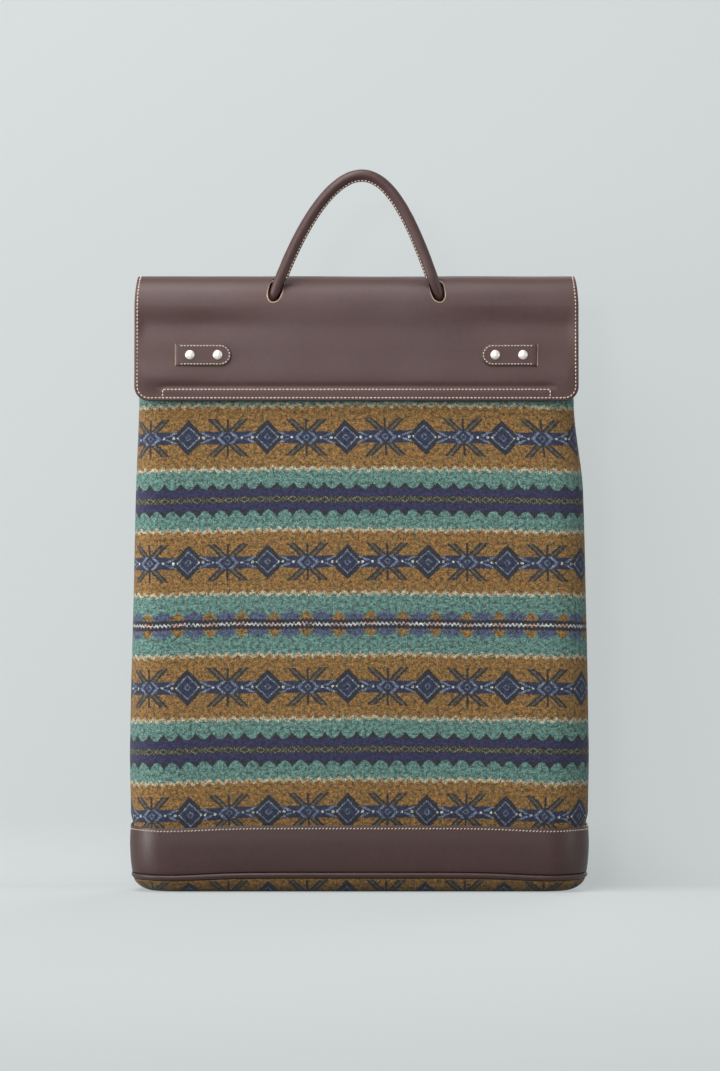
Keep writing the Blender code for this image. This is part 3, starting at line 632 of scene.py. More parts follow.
def add_wool_pan():
    """Wool pan under the bag, with its rounded fuzzy edge below the piping."""
    count = 240
    outer = [(full_ring(height, inset, count), height) for inset, height in pan_profile(0.0, 0.0, 10)]
    inner = [(full_ring(height, inset, count), height) for inset, height in pan_profile(CLOTH, CLOTH, 6)]
    pairs = outer + inner[::-1]
    rings = [spread_foot(ring) for ring, _ in pairs]
    uvs = []
    for ring, height in pairs:
        closed = np.vstack((ring, ring[:1]))
        travelled = np.concatenate(([0.0], np.cumsum(np.linalg.norm(np.diff(closed, axis=0), axis=1))))[:-1]
        middle = 0.25 * travelled[-1]
        uvs.append(np.stack((travelled - middle, np.full(count, height + PAN_PATTERN)), axis=1))
    return add_loft(
        "wool_pan", rings, looks()["wool"], "bag", nodes=("base_panel",), slot="wool", uvs=np.concatenate(uvs)
    )


def rounded_wall(low, high, inset, thickness, count, rounding=0.0007):
    """Closed rings of a wall round the body with rounded upper and lower edges."""
    pairs = []
    half = thickness / 2.0
    top, foot = high - rounding, low + rounding
    for turn in np.linspace(0.0, math.pi, 7):
        pairs.append((inset + half - half * math.cos(turn), top + rounding * math.sin(turn)))
    for share in np.linspace(0.0, 1.0, 8)[1:-1]:
        pairs.append((inset + thickness, lerp(top, foot, share)))
    for turn in np.linspace(0.0, math.pi, 7):
        pairs.append((inset + half + half * math.cos(turn), foot - rounding * math.sin(turn)))
    for share in np.linspace(0.0, 1.0, 16)[1:-1]:
        pairs.append((inset, lerp(foot, top, share)))
    return np.array([full_ring(height, place, count) for place, height in pairs])


# Shape of the flap


def yoke_face(height):
    """Distance from the middle of the bag to the yoke's outer face."""
    return outline(height)[1] + STANDOFF + LEATHER


def flap_profile():
    """Path of the flap's outer face from the foot of the yoke over the fold to the flap's foot.

    Each row holds the travelled distance, y, z, the normal's y and z, and the half width.
    """
    rows = []
    for height in np.concatenate((YOKE_FOOT + 0.0009 * np.array([0.0, 0.12, 0.35, 0.7, 1.1]),
                                  np.linspace(YOKE_FOOT + 0.0016, HINGE_HEIGHT, 40)[:-1])):
        taper = float(smooth_share(height, HINGE_HEIGHT - YOKE_TAPER, HINGE_HEIGHT))
        half_width = lerp(YOKE_HALF_WIDTH, FLAP_HALF_WIDTH, taper)
        half_width -= corner_trim(height - YOKE_FOOT, YOKE_CORNER)
        rows.append((yoke_face(height), height, 1.0, 0.0, half_width))
    for angle in np.linspace(0.0, FRONT_ANGLE, 52):
        y = FOLD_Y + FOLD_RADIUS * math.cos(angle)
        z = HINGE_HEIGHT + FOLD_RADIUS * math.sin(angle)
        half_width = lerp(FLAP_HALF_WIDTH, FLAP_TOP_HALF_WIDTH, math.sin(angle) ** 2)
        rows.append((y, z, math.cos(angle), math.sin(angle), half_width))
    start_y, start_z = rows[-1][0], rows[-1][1]
    normal_y, normal_z = math.cos(FRONT_ANGLE), math.sin(FRONT_ANGLE)
    heights = np.concatenate((np.linspace(start_z, FLAP_FOOT + 0.0016, 62)[1:],
                              FLAP_FOOT + 0.0009 * np.array([1.1, 0.7, 0.35, 0.12, 0.0])))
    for height in heights:
        down = (start_z - height) / abs(normal_y)
        half_width = FLAP_HALF_WIDTH - corner_trim(height - FLAP_FOOT, FLAP_CORNER)
        rows.append((start_y - down * normal_z, height, normal_y, normal_z, half_width))
    rows = np.array(rows)
    travelled = np.concatenate(([0.0], np.cumsum(np.hypot(np.diff(rows[:, 0]), np.diff(rows[:, 1])))))
    return np.column_stack((travelled, rows))


def corner_trim(distance, corner):
    """How much a rounded corner takes off the half width, at a distance from the lower edge."""
    if distance >= corner:
        return 0.0
    return corner - math.sqrt(max(0.0, corner * corner - (corner - distance) ** 2))


def flap_relief(x, y, z):
    """Height of the flap's soft dips and crease over its plain shape."""
    front = smooth_share(-y, 0.018, 0.026)
    out = np.abs(x)
    edge = 1.0 - 0.7 * smooth_share(out, 0.190, 0.201)
    valley = VALLEY_DEPTH + VALLEY_SIDE_DEPTH * smooth_share(out, 0.05, 0.15)
    valley = valley * hump(z, VALLEY_HEIGHT + 0.002 * out / 0.2, VALLEY_REACH)
    for dent in DENTS:
        valley = valley + local_hump(x, z, *dent)
    swell = SWELL_RISE + SWELL_SIDE_RISE * smooth_share(out, 0.10, 0.17)
    swell = swell * hump(z, SWELL_HEIGHT, SWELL_REACH) + local_hump(x, z, *BULGE)
    crease = CREASE_DEPTH * hump(z, CREASE_HEIGHT, CREASE_REACH) * (1.0 - smooth_share(out, 0.172, 0.182))
    lift = STRIP_LIFT * smooth_share(CREASE_HEIGHT - z, -0.001, 0.004)
    lift = lift * (1.0 - smooth_share(out, 0.172, 0.178))
    crown = CROWN_RISE * smooth_share(z, 0.534, 0.552)
    return crown + front * (edge * (swell - valley) - crease + lift)


def flap_ring_relief(ring):
    """Relief of a ring of the flap, with small lumps."""
    x, y, z = ring[:, 0], ring[:, 1], ring[:, 2]
    lumps = 0.00045 * rough_field(ring * np.array([1.0, 0.2, 1.4]), 0.050, 7.0)
    return flap_relief(x, y, z) + lumps * smooth_share(z, 0.44, 0.46)


PROFILE = flap_profile()
FLAP_LENGTH = PROFILE[-1, 0]
HINGE_DISTANCE = float(np.interp(HINGE_HEIGHT, PROFILE[:YOKE_ROWS, 2], PROFILE[:YOKE_ROWS, 0]))


def flap_surface(x, distance, lift=0.0):
    """Points and normals on the flap's outer face for places across and along it."""
    x = np.asarray(x, float)
    distance = np.asarray(distance, float)
    y, z, normal_y, normal_z = (
        np.interp(distance, PROFILE[:, 0], PROFILE[:, column]) for column in (1, 2, 3, 4)
    )
    raised = flap_relief(x, y, z) + lift
    points = np.stack((x, y + normal_y * raised, z + normal_z * raised), axis=-1)
    return points, np.stack((np.zeros_like(y), normal_y, normal_z), axis=-1)


def front_distance(height):
    """Distance along the flap to a height on its front."""
    return FLAP_LENGTH - (np.asarray(height, float) - FLAP_FOOT) / abs(math.cos(FRONT_ANGLE))


def front_frame(x, height, lift):
    """Origin and axes on the flap's front: across, up and outward."""
    points, normals = flap_surface(np.array([x]), np.array([float(front_distance(height))]), lift)
    normal = normals[0]
    return points[0], np.array([1.0, 0.0, 0.0]), np.array([0.0, normal[2], -normal[1]]), normal


# Shape of the handle and straps


def handle_reach(height):
    """Distance from the middle to the handle's centre line at a height."""
    share = (HANDLE_TOP - height) / (HANDLE_TOP - PIVOT_Z)
    return HANDLE_HALF_SPREAD * math.sqrt(max(0.0, share))


def handle_point(place):
    """Point on the handle's centre line, for a place from -1 at the left end to 1 at the right end."""
    swing = math.sin(place * math.pi / 2.0)
    height = lerp(HANDLE_TOP, PIVOT_Z, swing * swing)
    rise = min(1.0, (height - PIVOT_Z) / HANDLE_BEND_RISE)
    lean = HANDLE_LEAN * (1.0 - swing * swing) ** 2
    return np.array(
        [swing * HANDLE_HALF_SPREAD + lean, PIVOT_Y - HANDLE_FORWARD * (1.0 - (1.0 - rise) ** 2), height]
    )


def handle_axes(place):
    """Centre, direction, inward and sideways axes of the handle at a place."""
    step = 0.001
    centre = handle_point(place)
    along = unit(handle_point(min(1.0, place + step)) - handle_point(max(-1.0, place - step)))
    inward = unit(np.array([0.0, centre[1], PIVOT_Z]) - centre)
    inward = unit(inward - along * inward.dot(along))
    return centre, along, inward, np.cross(along, inward)


def strap_line(side, height):
    """Line that a strap follows down the back, on the surface that it lies against."""
    share = (STRAP_TOP - height) / (STRAP_TOP - TAIL_FOOT)
    x = side * lerp(STRAP_TOP_X, STRAP_FOOT_X, share)
    seat = (STANDOFF + LEATHER) * float(smooth_share(height, BAND_TOP, STRAP_FREE_TOP))
    free = min(1.0, max(0.0, (STRAP_FREE_TOP - height) / (STRAP_FREE_TOP - BAND_TOP)))
    return np.array([x, outline(height)[1] + seat + STRAP_BOW * math.sin(math.pi * free) ** 2, height])


def strap_axes(side, height):
    """Origin, across, along and outward axes of a strap at a height."""
    step = 0.0005
    along = unit(strap_line(side, height + step) - strap_line(side, height - step))
    across = unit(np.cross(along, np.array([0.0, 1.0, 0.0])))
    return strap_line(side, height), across, along, np.cross(across, along)


def tail_lift(height):
    """Distance from the strap's line to the middle of the tail, which laps over the shoulder strap."""
    resting = GAP + TAIL_THICKNESS / 2.0
    share = float(smooth_share(height, STRAP_END - GAP - TAIL_DROP, STRAP_END - GAP))
    return lerp(resting, GAP + STRAP_THICKNESS + resting, share)


# Materials


class Signal:
    """Number in a node tree that can be used in sums."""

    def __init__(self, tree, socket):
        self.tree = tree
        self.socket = socket

    def sum(self, operation, *others, clamp=False):
        """New number from this one and others."""
        node = self.tree.nodes.new("ShaderNodeMath")
        node.operation = operation
        node.use_clamp = clamp
        for place, value in enumerate((self, *others)):
            if isinstance(value, Signal):
                self.tree.links.new(value.socket, node.inputs[place])
            else:
                node.inputs[place].default_value = value
        return Signal(self.tree, node.outputs[0])

    def __add__(self, other):
        return self.sum("ADD", other)

    def __sub__(self, other):
        return self.sum("SUBTRACT", other)

    def __mul__(self, other):
        return self.sum("MULTIPLY", other)

    def __abs__(self):
        return self.sum("ABSOLUTE")

    def wrap(self, half):
        """This number wrapped to the range from -half to half."""
        return self.sum("WRAP", half, -half)

    def zigzag(self, period):
        """Triangle wave from -1 to 1."""
        return self.sum("PINGPONG", period / 2.0) * (4.0 / period) - 1.0

    def below(self, limit, soft=0.5):
        """1 where this number is below a limit, with a soft step."""
        if isinstance(limit, Signal):
            return (limit - self).sum("MULTIPLY_ADD", 1.0 / soft, 0.5, clamp=True)
        return self.sum("MULTIPLY_ADD", -1.0 / soft, limit / soft + 0.5, clamp=True)

    def above(self, limit, soft=0.5):
        """1 where this number is above a limit, with a soft step."""
        if isinstance(limit, Signal):
            return limit.below(self, soft)
        return self.sum("MULTIPLY_ADD", 1.0 / soft, 0.5 - limit / soft, clamp=True)

    def __and__(self, other):
        return self.sum("MULTIPLY", other)

    def __or__(self, other):
        return self.sum("MAXIMUM", other)


def node_group(name, inputs, outputs):
    """Shader node group with named inputs and outputs, and its two end nodes."""
    tree = bpy.data.node_groups.new(name, "ShaderNodeTree")
    for label, kind, value in inputs:
        socket = tree.interface.new_socket(label, in_out="INPUT", socket_type=kind)
        socket.default_value = value
    for label, kind in outputs:
        tree.interface.new_socket(label, in_out="OUTPUT", socket_type=kind)
    return tree, tree.nodes.new("NodeGroupInput"), tree.nodes.new("NodeGroupOutput")


def noise_node(tree, vector, scale, detail=2.0, roughness=0.5):
    """Noise texture."""
    node = tree.nodes.new("ShaderNodeTexNoise")
    node.inputs["Scale"].default_value = scale
    node.inputs["Detail"].default_value = detail
    node.inputs["Roughness"].default_value = roughness
    tree.links.new(vector, node.inputs["Vector"])
    return node


def mix_colour(tree, under, over, share, blend="MIX"):
    """Colour socket of two colours mixed by a share."""
    node = tree.nodes.new("ShaderNodeMix")
    node.data_type = "RGBA"
    node.blend_type = blend
    node.clamp_factor = True
    for socket, value in ((node.inputs[6], under), (node.inputs[7], over)):
        if isinstance(value, bpy.types.NodeSocket):
            tree.links.new(value, socket)
        else:
            socket.default_value = (*value, 1.0)
    if isinstance(share, Signal):
        share = share.socket
    if isinstance(share, bpy.types.NodeSocket):
        tree.links.new(share, node.inputs[0])
    else:
        node.inputs[0].default_value = share
    return node.outputs[2]


def mapped(tree, socket, low, high, to_low, to_high):
    """Value stretched from one range to another and held at its ends."""
    node = tree.nodes.new("ShaderNodeMapRange")
    for label, value in zip(("From Min", "From Max", "To Min", "To Max"), (low, high, to_low, to_high)):
        node.inputs[label].default_value = value
    tree.links.new(socket, node.inputs["Value"])
    return node.outputs["Result"]


def split_colour(tree, socket):
    """The three channels of a colour as numbers."""
    node = tree.nodes.new("ShaderNodeSeparateColor")
    tree.links.new(socket, node.inputs[0])
    return [Signal(tree, channel) for channel in node.outputs]


def knit_ground(tree, colours, place, chance, along, off_stars, over_zigzag):
    """Grounds: ochre round the stars, teal between, navy waves with a chain, and a pale zigzag on slate."""
    off_zigzag = abs(over_zigzag)
    off_waves = off_zigzag * -1.0 + ZIGZAG_PERIOD / 2.0
    tint = split_colour(tree, noise_node(tree, place, 0.36, 3.0, 0.7).outputs["Color"])
    warm = mapped(tree, tint[0].socket, 0.48, 0.64, 0.0, 0.50)
    ochre = mix_colour(tree, colours.ochre, colours.rust, warm)
    ochre = mix_colour(tree, ochre, colours.olive, mapped(tree, tint[1].socket, 0.49, 0.63, 0.0, 0.8))
    teal = mix_colour(tree, colours.teal, colours.sea, mapped(tree, tint[0].socket, 0.45, 0.65, 0.0, 0.8))
    edge = off_stars + along.zigzag(8.9) * 1.5
    colour = mix_colour(tree, ochre, teal, edge.above(29.0, 1.0))
    dots = along.zigzag(2.2).above(-0.75, 0.9) * 0.6 + 0.15
    dots = dots + Signal(tree, mapped(tree, chance.socket, 0.45, 0.6, 0.0, 0.25))
    colour = mix_colour(tree, colour, colours.cream, abs(edge - 28.6).below(1.55, 1.3) & dots)

    # Waves and the chain in them
    scalloped = along + SCALLOP_SHIFT
    lobe = abs((scalloped * (math.pi / SCALLOP_PITCH)).sum("SINE")) * -6.2 + 15.7
    colour = mix_colour(tree, colour, colours.ink, off_waves.below(lobe, 0.9))
    colour = mix_colour(tree, colour, colours.navy, off_waves.below(9.6, 1.2) & off_waves.above(3.0, 0.9))
    off_link = abs(scalloped.wrap(LINK_PITCH / 2.0))
    ring = abs(off_link * 0.55 + off_waves - 2.4).below(0.65, 0.6)
    cross = abs(off_link * -1.0 + LINK_PITCH / 2.0 - off_waves * 0.9).below(0.6, 0.6)
    cross = cross & off_waves.below(2.4, 0.5)
    chain = (ring | cross) & (along.zigzag(1.7).above(-0.35, 0.9) * 0.8)
    colour = mix_colour(tree, colour, colours.chain, chain)

    # Slate patches, ochre diamonds and the zigzag over them
    off_patch = abs((along - PATCH_SHIFT).wrap(PATCH_PITCH / 2.0))
    colour = mix_colour(tree, colour, colours.slate, off_zigzag.below(off_patch * 0.45 + 6.0, 4.0))
    diamond = (off_patch * (1.0 / 11.0) + off_zigzag * (1.0 / 12.4)).below(1.0, 0.10)
    colour = mix_colour(tree, colour, ochre, diamond)
    saw = along.zigzag(3.7)
    colour = mix_colour(tree, colour, colours.ink, off_zigzag.below(saw * 0.55 + 4.4, 0.7))
    line = mix_colour(tree, colours.pale, colours.salmon, off_patch.below(5.2, 2.0) * 0.6)
    return mix_colour(tree, colour, line, abs(over_zigzag - saw * 1.05).below(0.95, 0.6))


def knit_stars(tree, colours, ground, chance, along, off_stars):
    """Row of diamonds and stars over the ground."""
    off_diamond = abs((along + STAR_SHIFT).wrap(STAR_PITCH / 2.0))
    off_star = off_diamond * -1.0 + STAR_PITCH / 2.0
    near = off_stars.below(17.0, 0.6)
    ray = off_star - off_stars
    star = mix_colour(tree, ground, colours.moss, near & ray.above(-4.8, 0.6) & ray.below(0.6, 0.6))
    lines = abs(ray - 0.6).below(1.15, 0.6) | abs(ray + 4.9).below(1.15, 0.6) | off_star.below(1.0, 0.6)
    star = mix_colour(tree, star, colours.ink, lines & near)
    star = mix_colour(tree, star, colours.indigo, off_stars.below(5.5, 0.7))
    reach = off_diamond + off_stars
    star = mix_colour(tree, star, colours.ink, reach.below(16.1, 0.8))
    star = mix_colour(tree, star, colours.indigo, reach.below(9.0, 0.7))
    hatch = along.zigzag(1.6).above(-0.6, 1.0) * 0.7 + 0.25
    chevron = abs(off_diamond + off_stars * 1.85 - 20.8).below(2.1, 1.0)
    chevron = chevron & off_stars.above(0.9, 0.6) & off_stars.below(5.1, 0.6)
    hexagon = abs(off_star + off_stars * 1.05 - 8.6).below(1.5, 0.9) & off_stars.below(5.6, 0.6)
    marks = chevron | hexagon | abs(reach - 9.9).below(0.75, 0.7)
    centres = abs(reach - 2.6).below(0.7, 0.6) | abs(off_star + off_stars - 2.5).below(0.7, 0.6)
    blue = mix_colour(tree, colours.sky, colours.pale, mapped(tree, chance.socket, 0.50, 0.66, 0.0, 0.45))
    star = mix_colour(tree, star, blue, (marks | (centres * 0.7)) & hatch)
    dot = None
    dots = ((13.4, off_diamond, 1.6, 1.0), (12.7, off_star, 1.3, 0.9), (9.7, off_diamond, 0.7, 0.6))
    for middle, off, area, soft in dots:
        across = off - middle
        round_dot = (across * across + off_stars * off_stars).below(area, soft)
        dot = dot | round_dot if dot else round_dot
    return mix_colour(tree, star, colours.pale, dot)


def multiplied(tree, colour, shade):
    """Colour made lighter or darker by a number."""
    grey = tree.nodes.new("ShaderNodeCombineColor")
    for socket in grey.inputs:
        tree.links.new(shade.socket, socket)
    return mix_colour(tree, colour, grey.outputs[0], 1.0, "MULTIPLY")


def knit_group():
    """Node group of the traditional knitted pattern, from millimetres across and up."""
    colours = bpy.context.scene.bag_colours
    tree, source, result = node_group(
        "Knit pattern",
        (("Across", "NodeSocketFloat", 0.0), ("Up", "NodeSocketFloat", 0.0)),
        (("Color", "NodeSocketColor"), ("Relief", "NodeSocketFloat")),
    )
    combined = tree.nodes.new("ShaderNodeCombineXYZ")
    for number, label in enumerate(("Across", "Up")):
        tree.links.new(source.outputs[label], combined.inputs[number])
    place = combined.outputs[0]
    stray = split_colour(tree, noise_node(tree, place, 0.75, 1.0).outputs["Color"])
    drift = split_colour(tree, noise_node(tree, place, 0.025, 1.0).outputs["Color"])
    along, up = (
        Signal(tree, source.outputs[label]) + (stray[number] - 0.5) * STRAY + (drift[number] - 0.5) * DRIFT
        for number, label in enumerate(("Across", "Up"))
    )
    off_stars = abs((up - STAR_ROW).wrap(STAR_PERIOD / 2.0))
    over_zigzag = (up - ZIGZAG_ROW).wrap(ZIGZAG_PERIOD / 2.0)
    colour = knit_ground(tree, colours, place, stray[2], along, off_stars, over_zigzag)
    colour = knit_stars(tree, colours, colour, stray[2], along, off_stars)

    # Heather and felt
    heather = noise_node(tree, place, 0.30, 4.0, 0.85)
    fleck = noise_node(tree, place, 0.95, 2.0, 0.6)
    shade = Signal(tree, mapped(tree, heather.outputs[0], 0.38, 0.62, 0.22, 1.74))
    shade = shade * Signal(tree, mapped(tree, fleck.outputs[0], 0.35, 0.65, 0.42, 1.58))
    colour = multiplied(tree, colour, shade)
    colour = mix_colour(tree, colour, colours.cream, mapped(tree, fleck.outputs[0], 0.60, 0.80, 0.0, 0.22))
    tree.links.new(colour, result.inputs["Color"])
    relief = Signal(tree, heather.outputs[0]) * 0.6 + Signal(tree, fleck.outputs[0]) * 0.5
    tree.links.new(relief.socket, result.inputs["Relief"])
    return tree


def leather_group():
    """Node group of fine leather grain, with cloudy colour and rubbed spots."""
    tree, source, result = node_group(
        "Leather grain",
        (
            ("Vector", "NodeSocketVector", (0.0, 0.0, 0.0)),
            ("Color", "NodeSocketColor", (0.06, 0.03, 0.03, 1.0)),
            ("Roughness", "NodeSocketFloat", 0.5),
        ),
        (("Color", "NodeSocketColor"), ("Roughness", "NodeSocketFloat"), ("Relief", "NodeSocketFloat")),
    )
    vector = source.outputs["Vector"]
    cloud = noise_node(tree, vector, 14.0, 4.0, 0.6)
    mottle = noise_node(tree, vector, 260.0, 3.0, 0.6)
    pores = tree.nodes.new("ShaderNodeTexVoronoi")
    pores.inputs["Scale"].default_value = 1300.0
    tree.links.new(vector, pores.inputs["Vector"])
    wrinkles = noise_node(tree, vector, 900.0, 2.0, 0.5)
    shade = Signal(tree, mapped(tree, cloud.outputs[0], 0.25, 0.75, 0.88, 1.12))
    shade = shade * Signal(tree, mapped(tree, mottle.outputs[0], 0.25, 0.75, 0.86, 1.14))
    tree.links.new(multiplied(tree, source.outputs["Color"], shade), result.inputs["Color"])
    rough = Signal(tree, source.outputs["Roughness"])
    rough = rough + Signal(tree, mapped(tree, cloud.outputs[0], 0.3, 0.7, -0.05, 0.05))
    rough = rough + Signal(tree, mapped(tree, mottle.outputs[0], 0.3, 0.7, -0.04, 0.04))
    tree.links.new(rough.socket, result.inputs["Roughness"])
    relief = Signal(tree, pores.outputs["Distance"]) * 0.55 + Signal(tree, wrinkles.outputs[0]) * 0.6
    tree.links.new(relief.socket, result.inputs["Relief"])
    return tree


def weave_group():
    """Node group of a plain woven cloth."""
    tree, source, result = node_group(
        "Plain weave",
        (
            ("Vector", "NodeSocketVector", (0.0, 0.0, 0.0)),
            ("Color", "NodeSocketColor", (0.07, 0.05, 0.04, 1.0)),
        ),
        (("Color", "NodeSocketColor"), ("Relief", "NodeSocketFloat")),
    )
    split = tree.nodes.new("ShaderNodeSeparateXYZ")
    tree.links.new(source.outputs["Vector"], split.inputs[0])
    across = (Signal(tree, split.outputs[0]) + Signal(tree, split.outputs[1])) * (math.tau / 0.0012)
    up = Signal(tree, split.outputs[2]) * (math.tau / 0.0012)
    threads = across.sum("SINE") * up.sum("SINE")
    tone = noise_node(tree, source.outputs["Vector"], 40.0, 4.0, 0.6)
    shade = Signal(tree, mapped(tree, tone.outputs[0], 0.25, 0.75, 0.8, 1.2)) * (threads * 0.18 + 1.0)
    tree.links.new(multiplied(tree, source.outputs["Color"], shade), result.inputs["Color"])
    tree.links.new(threads.socket, result.inputs["Relief"])
    return tree


def speckle_group():
    """Node group of a fine speckle between two colours, with its roughness and relief."""
    tree, source, result = node_group(
        "Speckle",
        (
            ("Vector", "NodeSocketVector", (0.0, 0.0, 0.0)),
            ("Dark", "NodeSocketColor", (0.1, 0.1, 0.1, 1.0)),
            ("Light", "NodeSocketColor", (0.2, 0.2, 0.2, 1.0)),
            ("Roughness", "NodeSocketFloat", 0.5),
            ("Scale", "NodeSocketFloat", 400.0),
        ),
        (("Color", "NodeSocketColor"), ("Roughness", "NodeSocketFloat"), ("Relief", "NodeSocketFloat")),
    )
    grain = noise_node(tree, source.outputs["Vector"], 400.0, 4.0, 0.6)
    tree.links.new(source.outputs["Scale"], grain.inputs["Scale"])
    share = mapped(tree, grain.outputs[0], 0.3, 0.7, 0.0, 1.0)
    colour = mix_colour(tree, source.outputs["Dark"], source.outputs["Light"], share)
    tree.links.new(colour, result.inputs["Color"])
    rough = Signal(tree, mapped(tree, grain.outputs[0], 0.3, 0.7, 0.85, 1.15))
    rough = rough * Signal(tree, source.outputs["Roughness"])
    tree.links.new(rough.socket, result.inputs["Roughness"])
    tree.links.new(grain.outputs[0], result.inputs["Relief"])
    return tree


def start_material(name):
    """Empty material with a principled shader: material, tree and shader."""
    made = bpy.data.materials.new(name)
    made.use_nodes = True
    return made, made.node_tree, made.node_tree.nodes["Principled BSDF"]


def add_group(tree, group, vector=None, **values):
    """Group node in a material, with its inputs set."""
    node = tree.nodes.new("ShaderNodeGroup")
    node.node_tree = group
    if vector is not None:
        tree.links.new(vector, node.inputs["Vector"])
    for label, value in values.items():
        node.inputs[label].default_value = value
    return node


def bump(tree, shader, height, strength, distance):
    """Bump from a height socket."""
    node = tree.nodes.new("ShaderNodeBump")
    node.inputs["Strength"].default_value = strength
    node.inputs["Distance"].default_value = distance
    tree.links.new(height, node.inputs["Height"])
    tree.links.new(node.outputs[0], shader.inputs["Normal"])


def object_vector(tree):
    """Position on the object in metres."""
    return tree.nodes.new("ShaderNodeTexCoord").outputs["Object"]


def seen_share(tree, path):
    """1 for the rays that show the ground and surroundings: seen directly, in gloss or through glass."""
    rays = [Signal(tree, path.outputs[f"Is {kind} Ray"]) for kind in ("Camera", "Glossy", "Transmission")]
    return (rays[0] | rays[1] | rays[2]).socket


def wool_material(group):
    """Felted wool with the knitted pattern."""
    made, tree, shader = start_material("Felted wool")
    place = tree.nodes.new("ShaderNodeUVMap")
    place.uv_map = "knit"
    split = tree.nodes.new("ShaderNodeSeparateXYZ")
    tree.links.new(place.outputs[0], split.inputs[0])
    node = add_group(tree, group)
    for number, label in enumerate(("Across", "Up")):
        millimetres = tree.nodes.new("ShaderNodeMath")
        millimetres.operation = "MULTIPLY"
        millimetres.inputs[1].default_value = 1000.0
        tree.links.new(split.outputs[number], millimetres.inputs[0])
        tree.links.new(millimetres.outputs[0], node.inputs[label])
    tree.links.new(node.outputs["Color"], shader.inputs["Base Color"])
    shader.inputs["Roughness"].default_value = 0.92
    shader.inputs["Sheen Weight"].default_value = 0.06
    shader.inputs["Sheen Roughness"].default_value = 0.6
    bump(tree, shader, node.outputs["Relief"], 0.9, 0.0011)
    return made


def leather_material(name, group, colour, roughness, strength=0.35):
    """Smooth leather of one colour."""
    made, tree, shader = start_material(name)
    node = add_group(tree, group, object_vector(tree), Color=(*colour, 1.0), Roughness=roughness)
    tree.links.new(node.outputs["Color"], shader.inputs["Base Color"])
    tree.links.new(node.outputs["Roughness"], shader.inputs["Roughness"])
    shader.inputs["Specular IOR Level"].default_value = 0.42
    bump(tree, shader, node.outputs["Relief"], strength, 0.0002)
    return made


def cloth_material(name, group, colour):
    """Plain woven cloth."""
    made, tree, shader = start_material(name)
    node = add_group(tree, group, object_vector(tree), Color=(*colour, 1.0))
    tree.links.new(node.outputs["Color"], shader.inputs["Base Color"])
    shader.inputs["Roughness"].default_value = 0.85
    bump(tree, shader, node.outputs["Relief"], 0.4, 0.0002)
    return made


def speckled_material(name, group, colour, roughness, metallic, scale, spread, strength):
    """Material with a fine noise in colour, roughness and relief."""
    made, tree, shader = start_material(name)
    dark = (*(channel * (1.0 - spread) for channel in colour), 1.0)
    light = (*(min(1.0, channel * (1.0 + spread)) for channel in colour), 1.0)
    values = {"Dark": dark, "Light": light, "Roughness": roughness, "Scale": scale}
    node = add_group(tree, group, object_vector(tree), **values)
    tree.links.new(node.outputs["Color"], shader.inputs["Base Color"])
    tree.links.new(node.outputs["Roughness"], shader.inputs["Roughness"])
    shader.inputs["Metallic"].default_value = metallic
    bump(tree, shader, node.outputs["Relief"], strength, 0.0003)
    return made


LOOKS = {}


def looks():
    """Every material by name, made once."""
    if not LOOKS:
        colours = bpy.context.scene.bag_colours
        grain = leather_group()
        speckle = speckle_group()
        LOOKS["wool"] = wool_material(knit_group())
        LOOKS["leather"] = leather_material("Brown leather", grain, colours.leather, 0.46)
        # The base leather is the brown leather made about a quarter darker. It is painted shade for the band
        # and piping, not a different leather.
        LOOKS["base"] = leather_material("Dark base leather", grain, colours.base_leather, 0.46)
        LOOKS["raw"] = leather_material("Raw leather edge", grain, colours.raw_edge, 0.7)
        LOOKS["lining"] = cloth_material("Cotton lining", weave_group(), colours.lining)
        for key, (name, *finish) in SPECKLED.items():
            LOOKS[key] = speckled_material(name, speckle, getattr(colours, key), *finish)
    return LOOKS


# Settings


def colour_property(name, description, default):
    """Colour setting."""
    return FloatVectorProperty(
        name=name, description=description, default=default, subtype="COLOR", min=0.0, max=1.0
    )


def length_property(name, description, default):
    """Length setting."""
    return FloatProperty(
        name=name, description=description, default=default, unit="LENGTH", precision=5, min=0.0
    )


class BagSizes(PropertyGroup):
    """Soft shapes and stitches."""

    side_puff: length_property("Side puff", "How far the wool stands out at the sides", 0.0036)
    base_spread: length_property("Base spread", "How far the foot of the bag spreads at the sides", 0.0009)
    lean: length_property("Lean", "How far the filled body leans to the right", 0.0027)
    droop: length_property("Droop", "How far the band hangs near the front corners", 0.0026)
    belly: length_property("Belly", "How far the filled front and back stand out", 0.0045)
    stitch_pitch: length_property("Stitch pitch", "Distance from one stitch to the next", 0.00335)
    stitch_length: length_property("Stitch length", "Length of one stitch that shows", 0.0023)
    stitch_width: length_property("Thread", "Thickness of the thread", 0.00112)


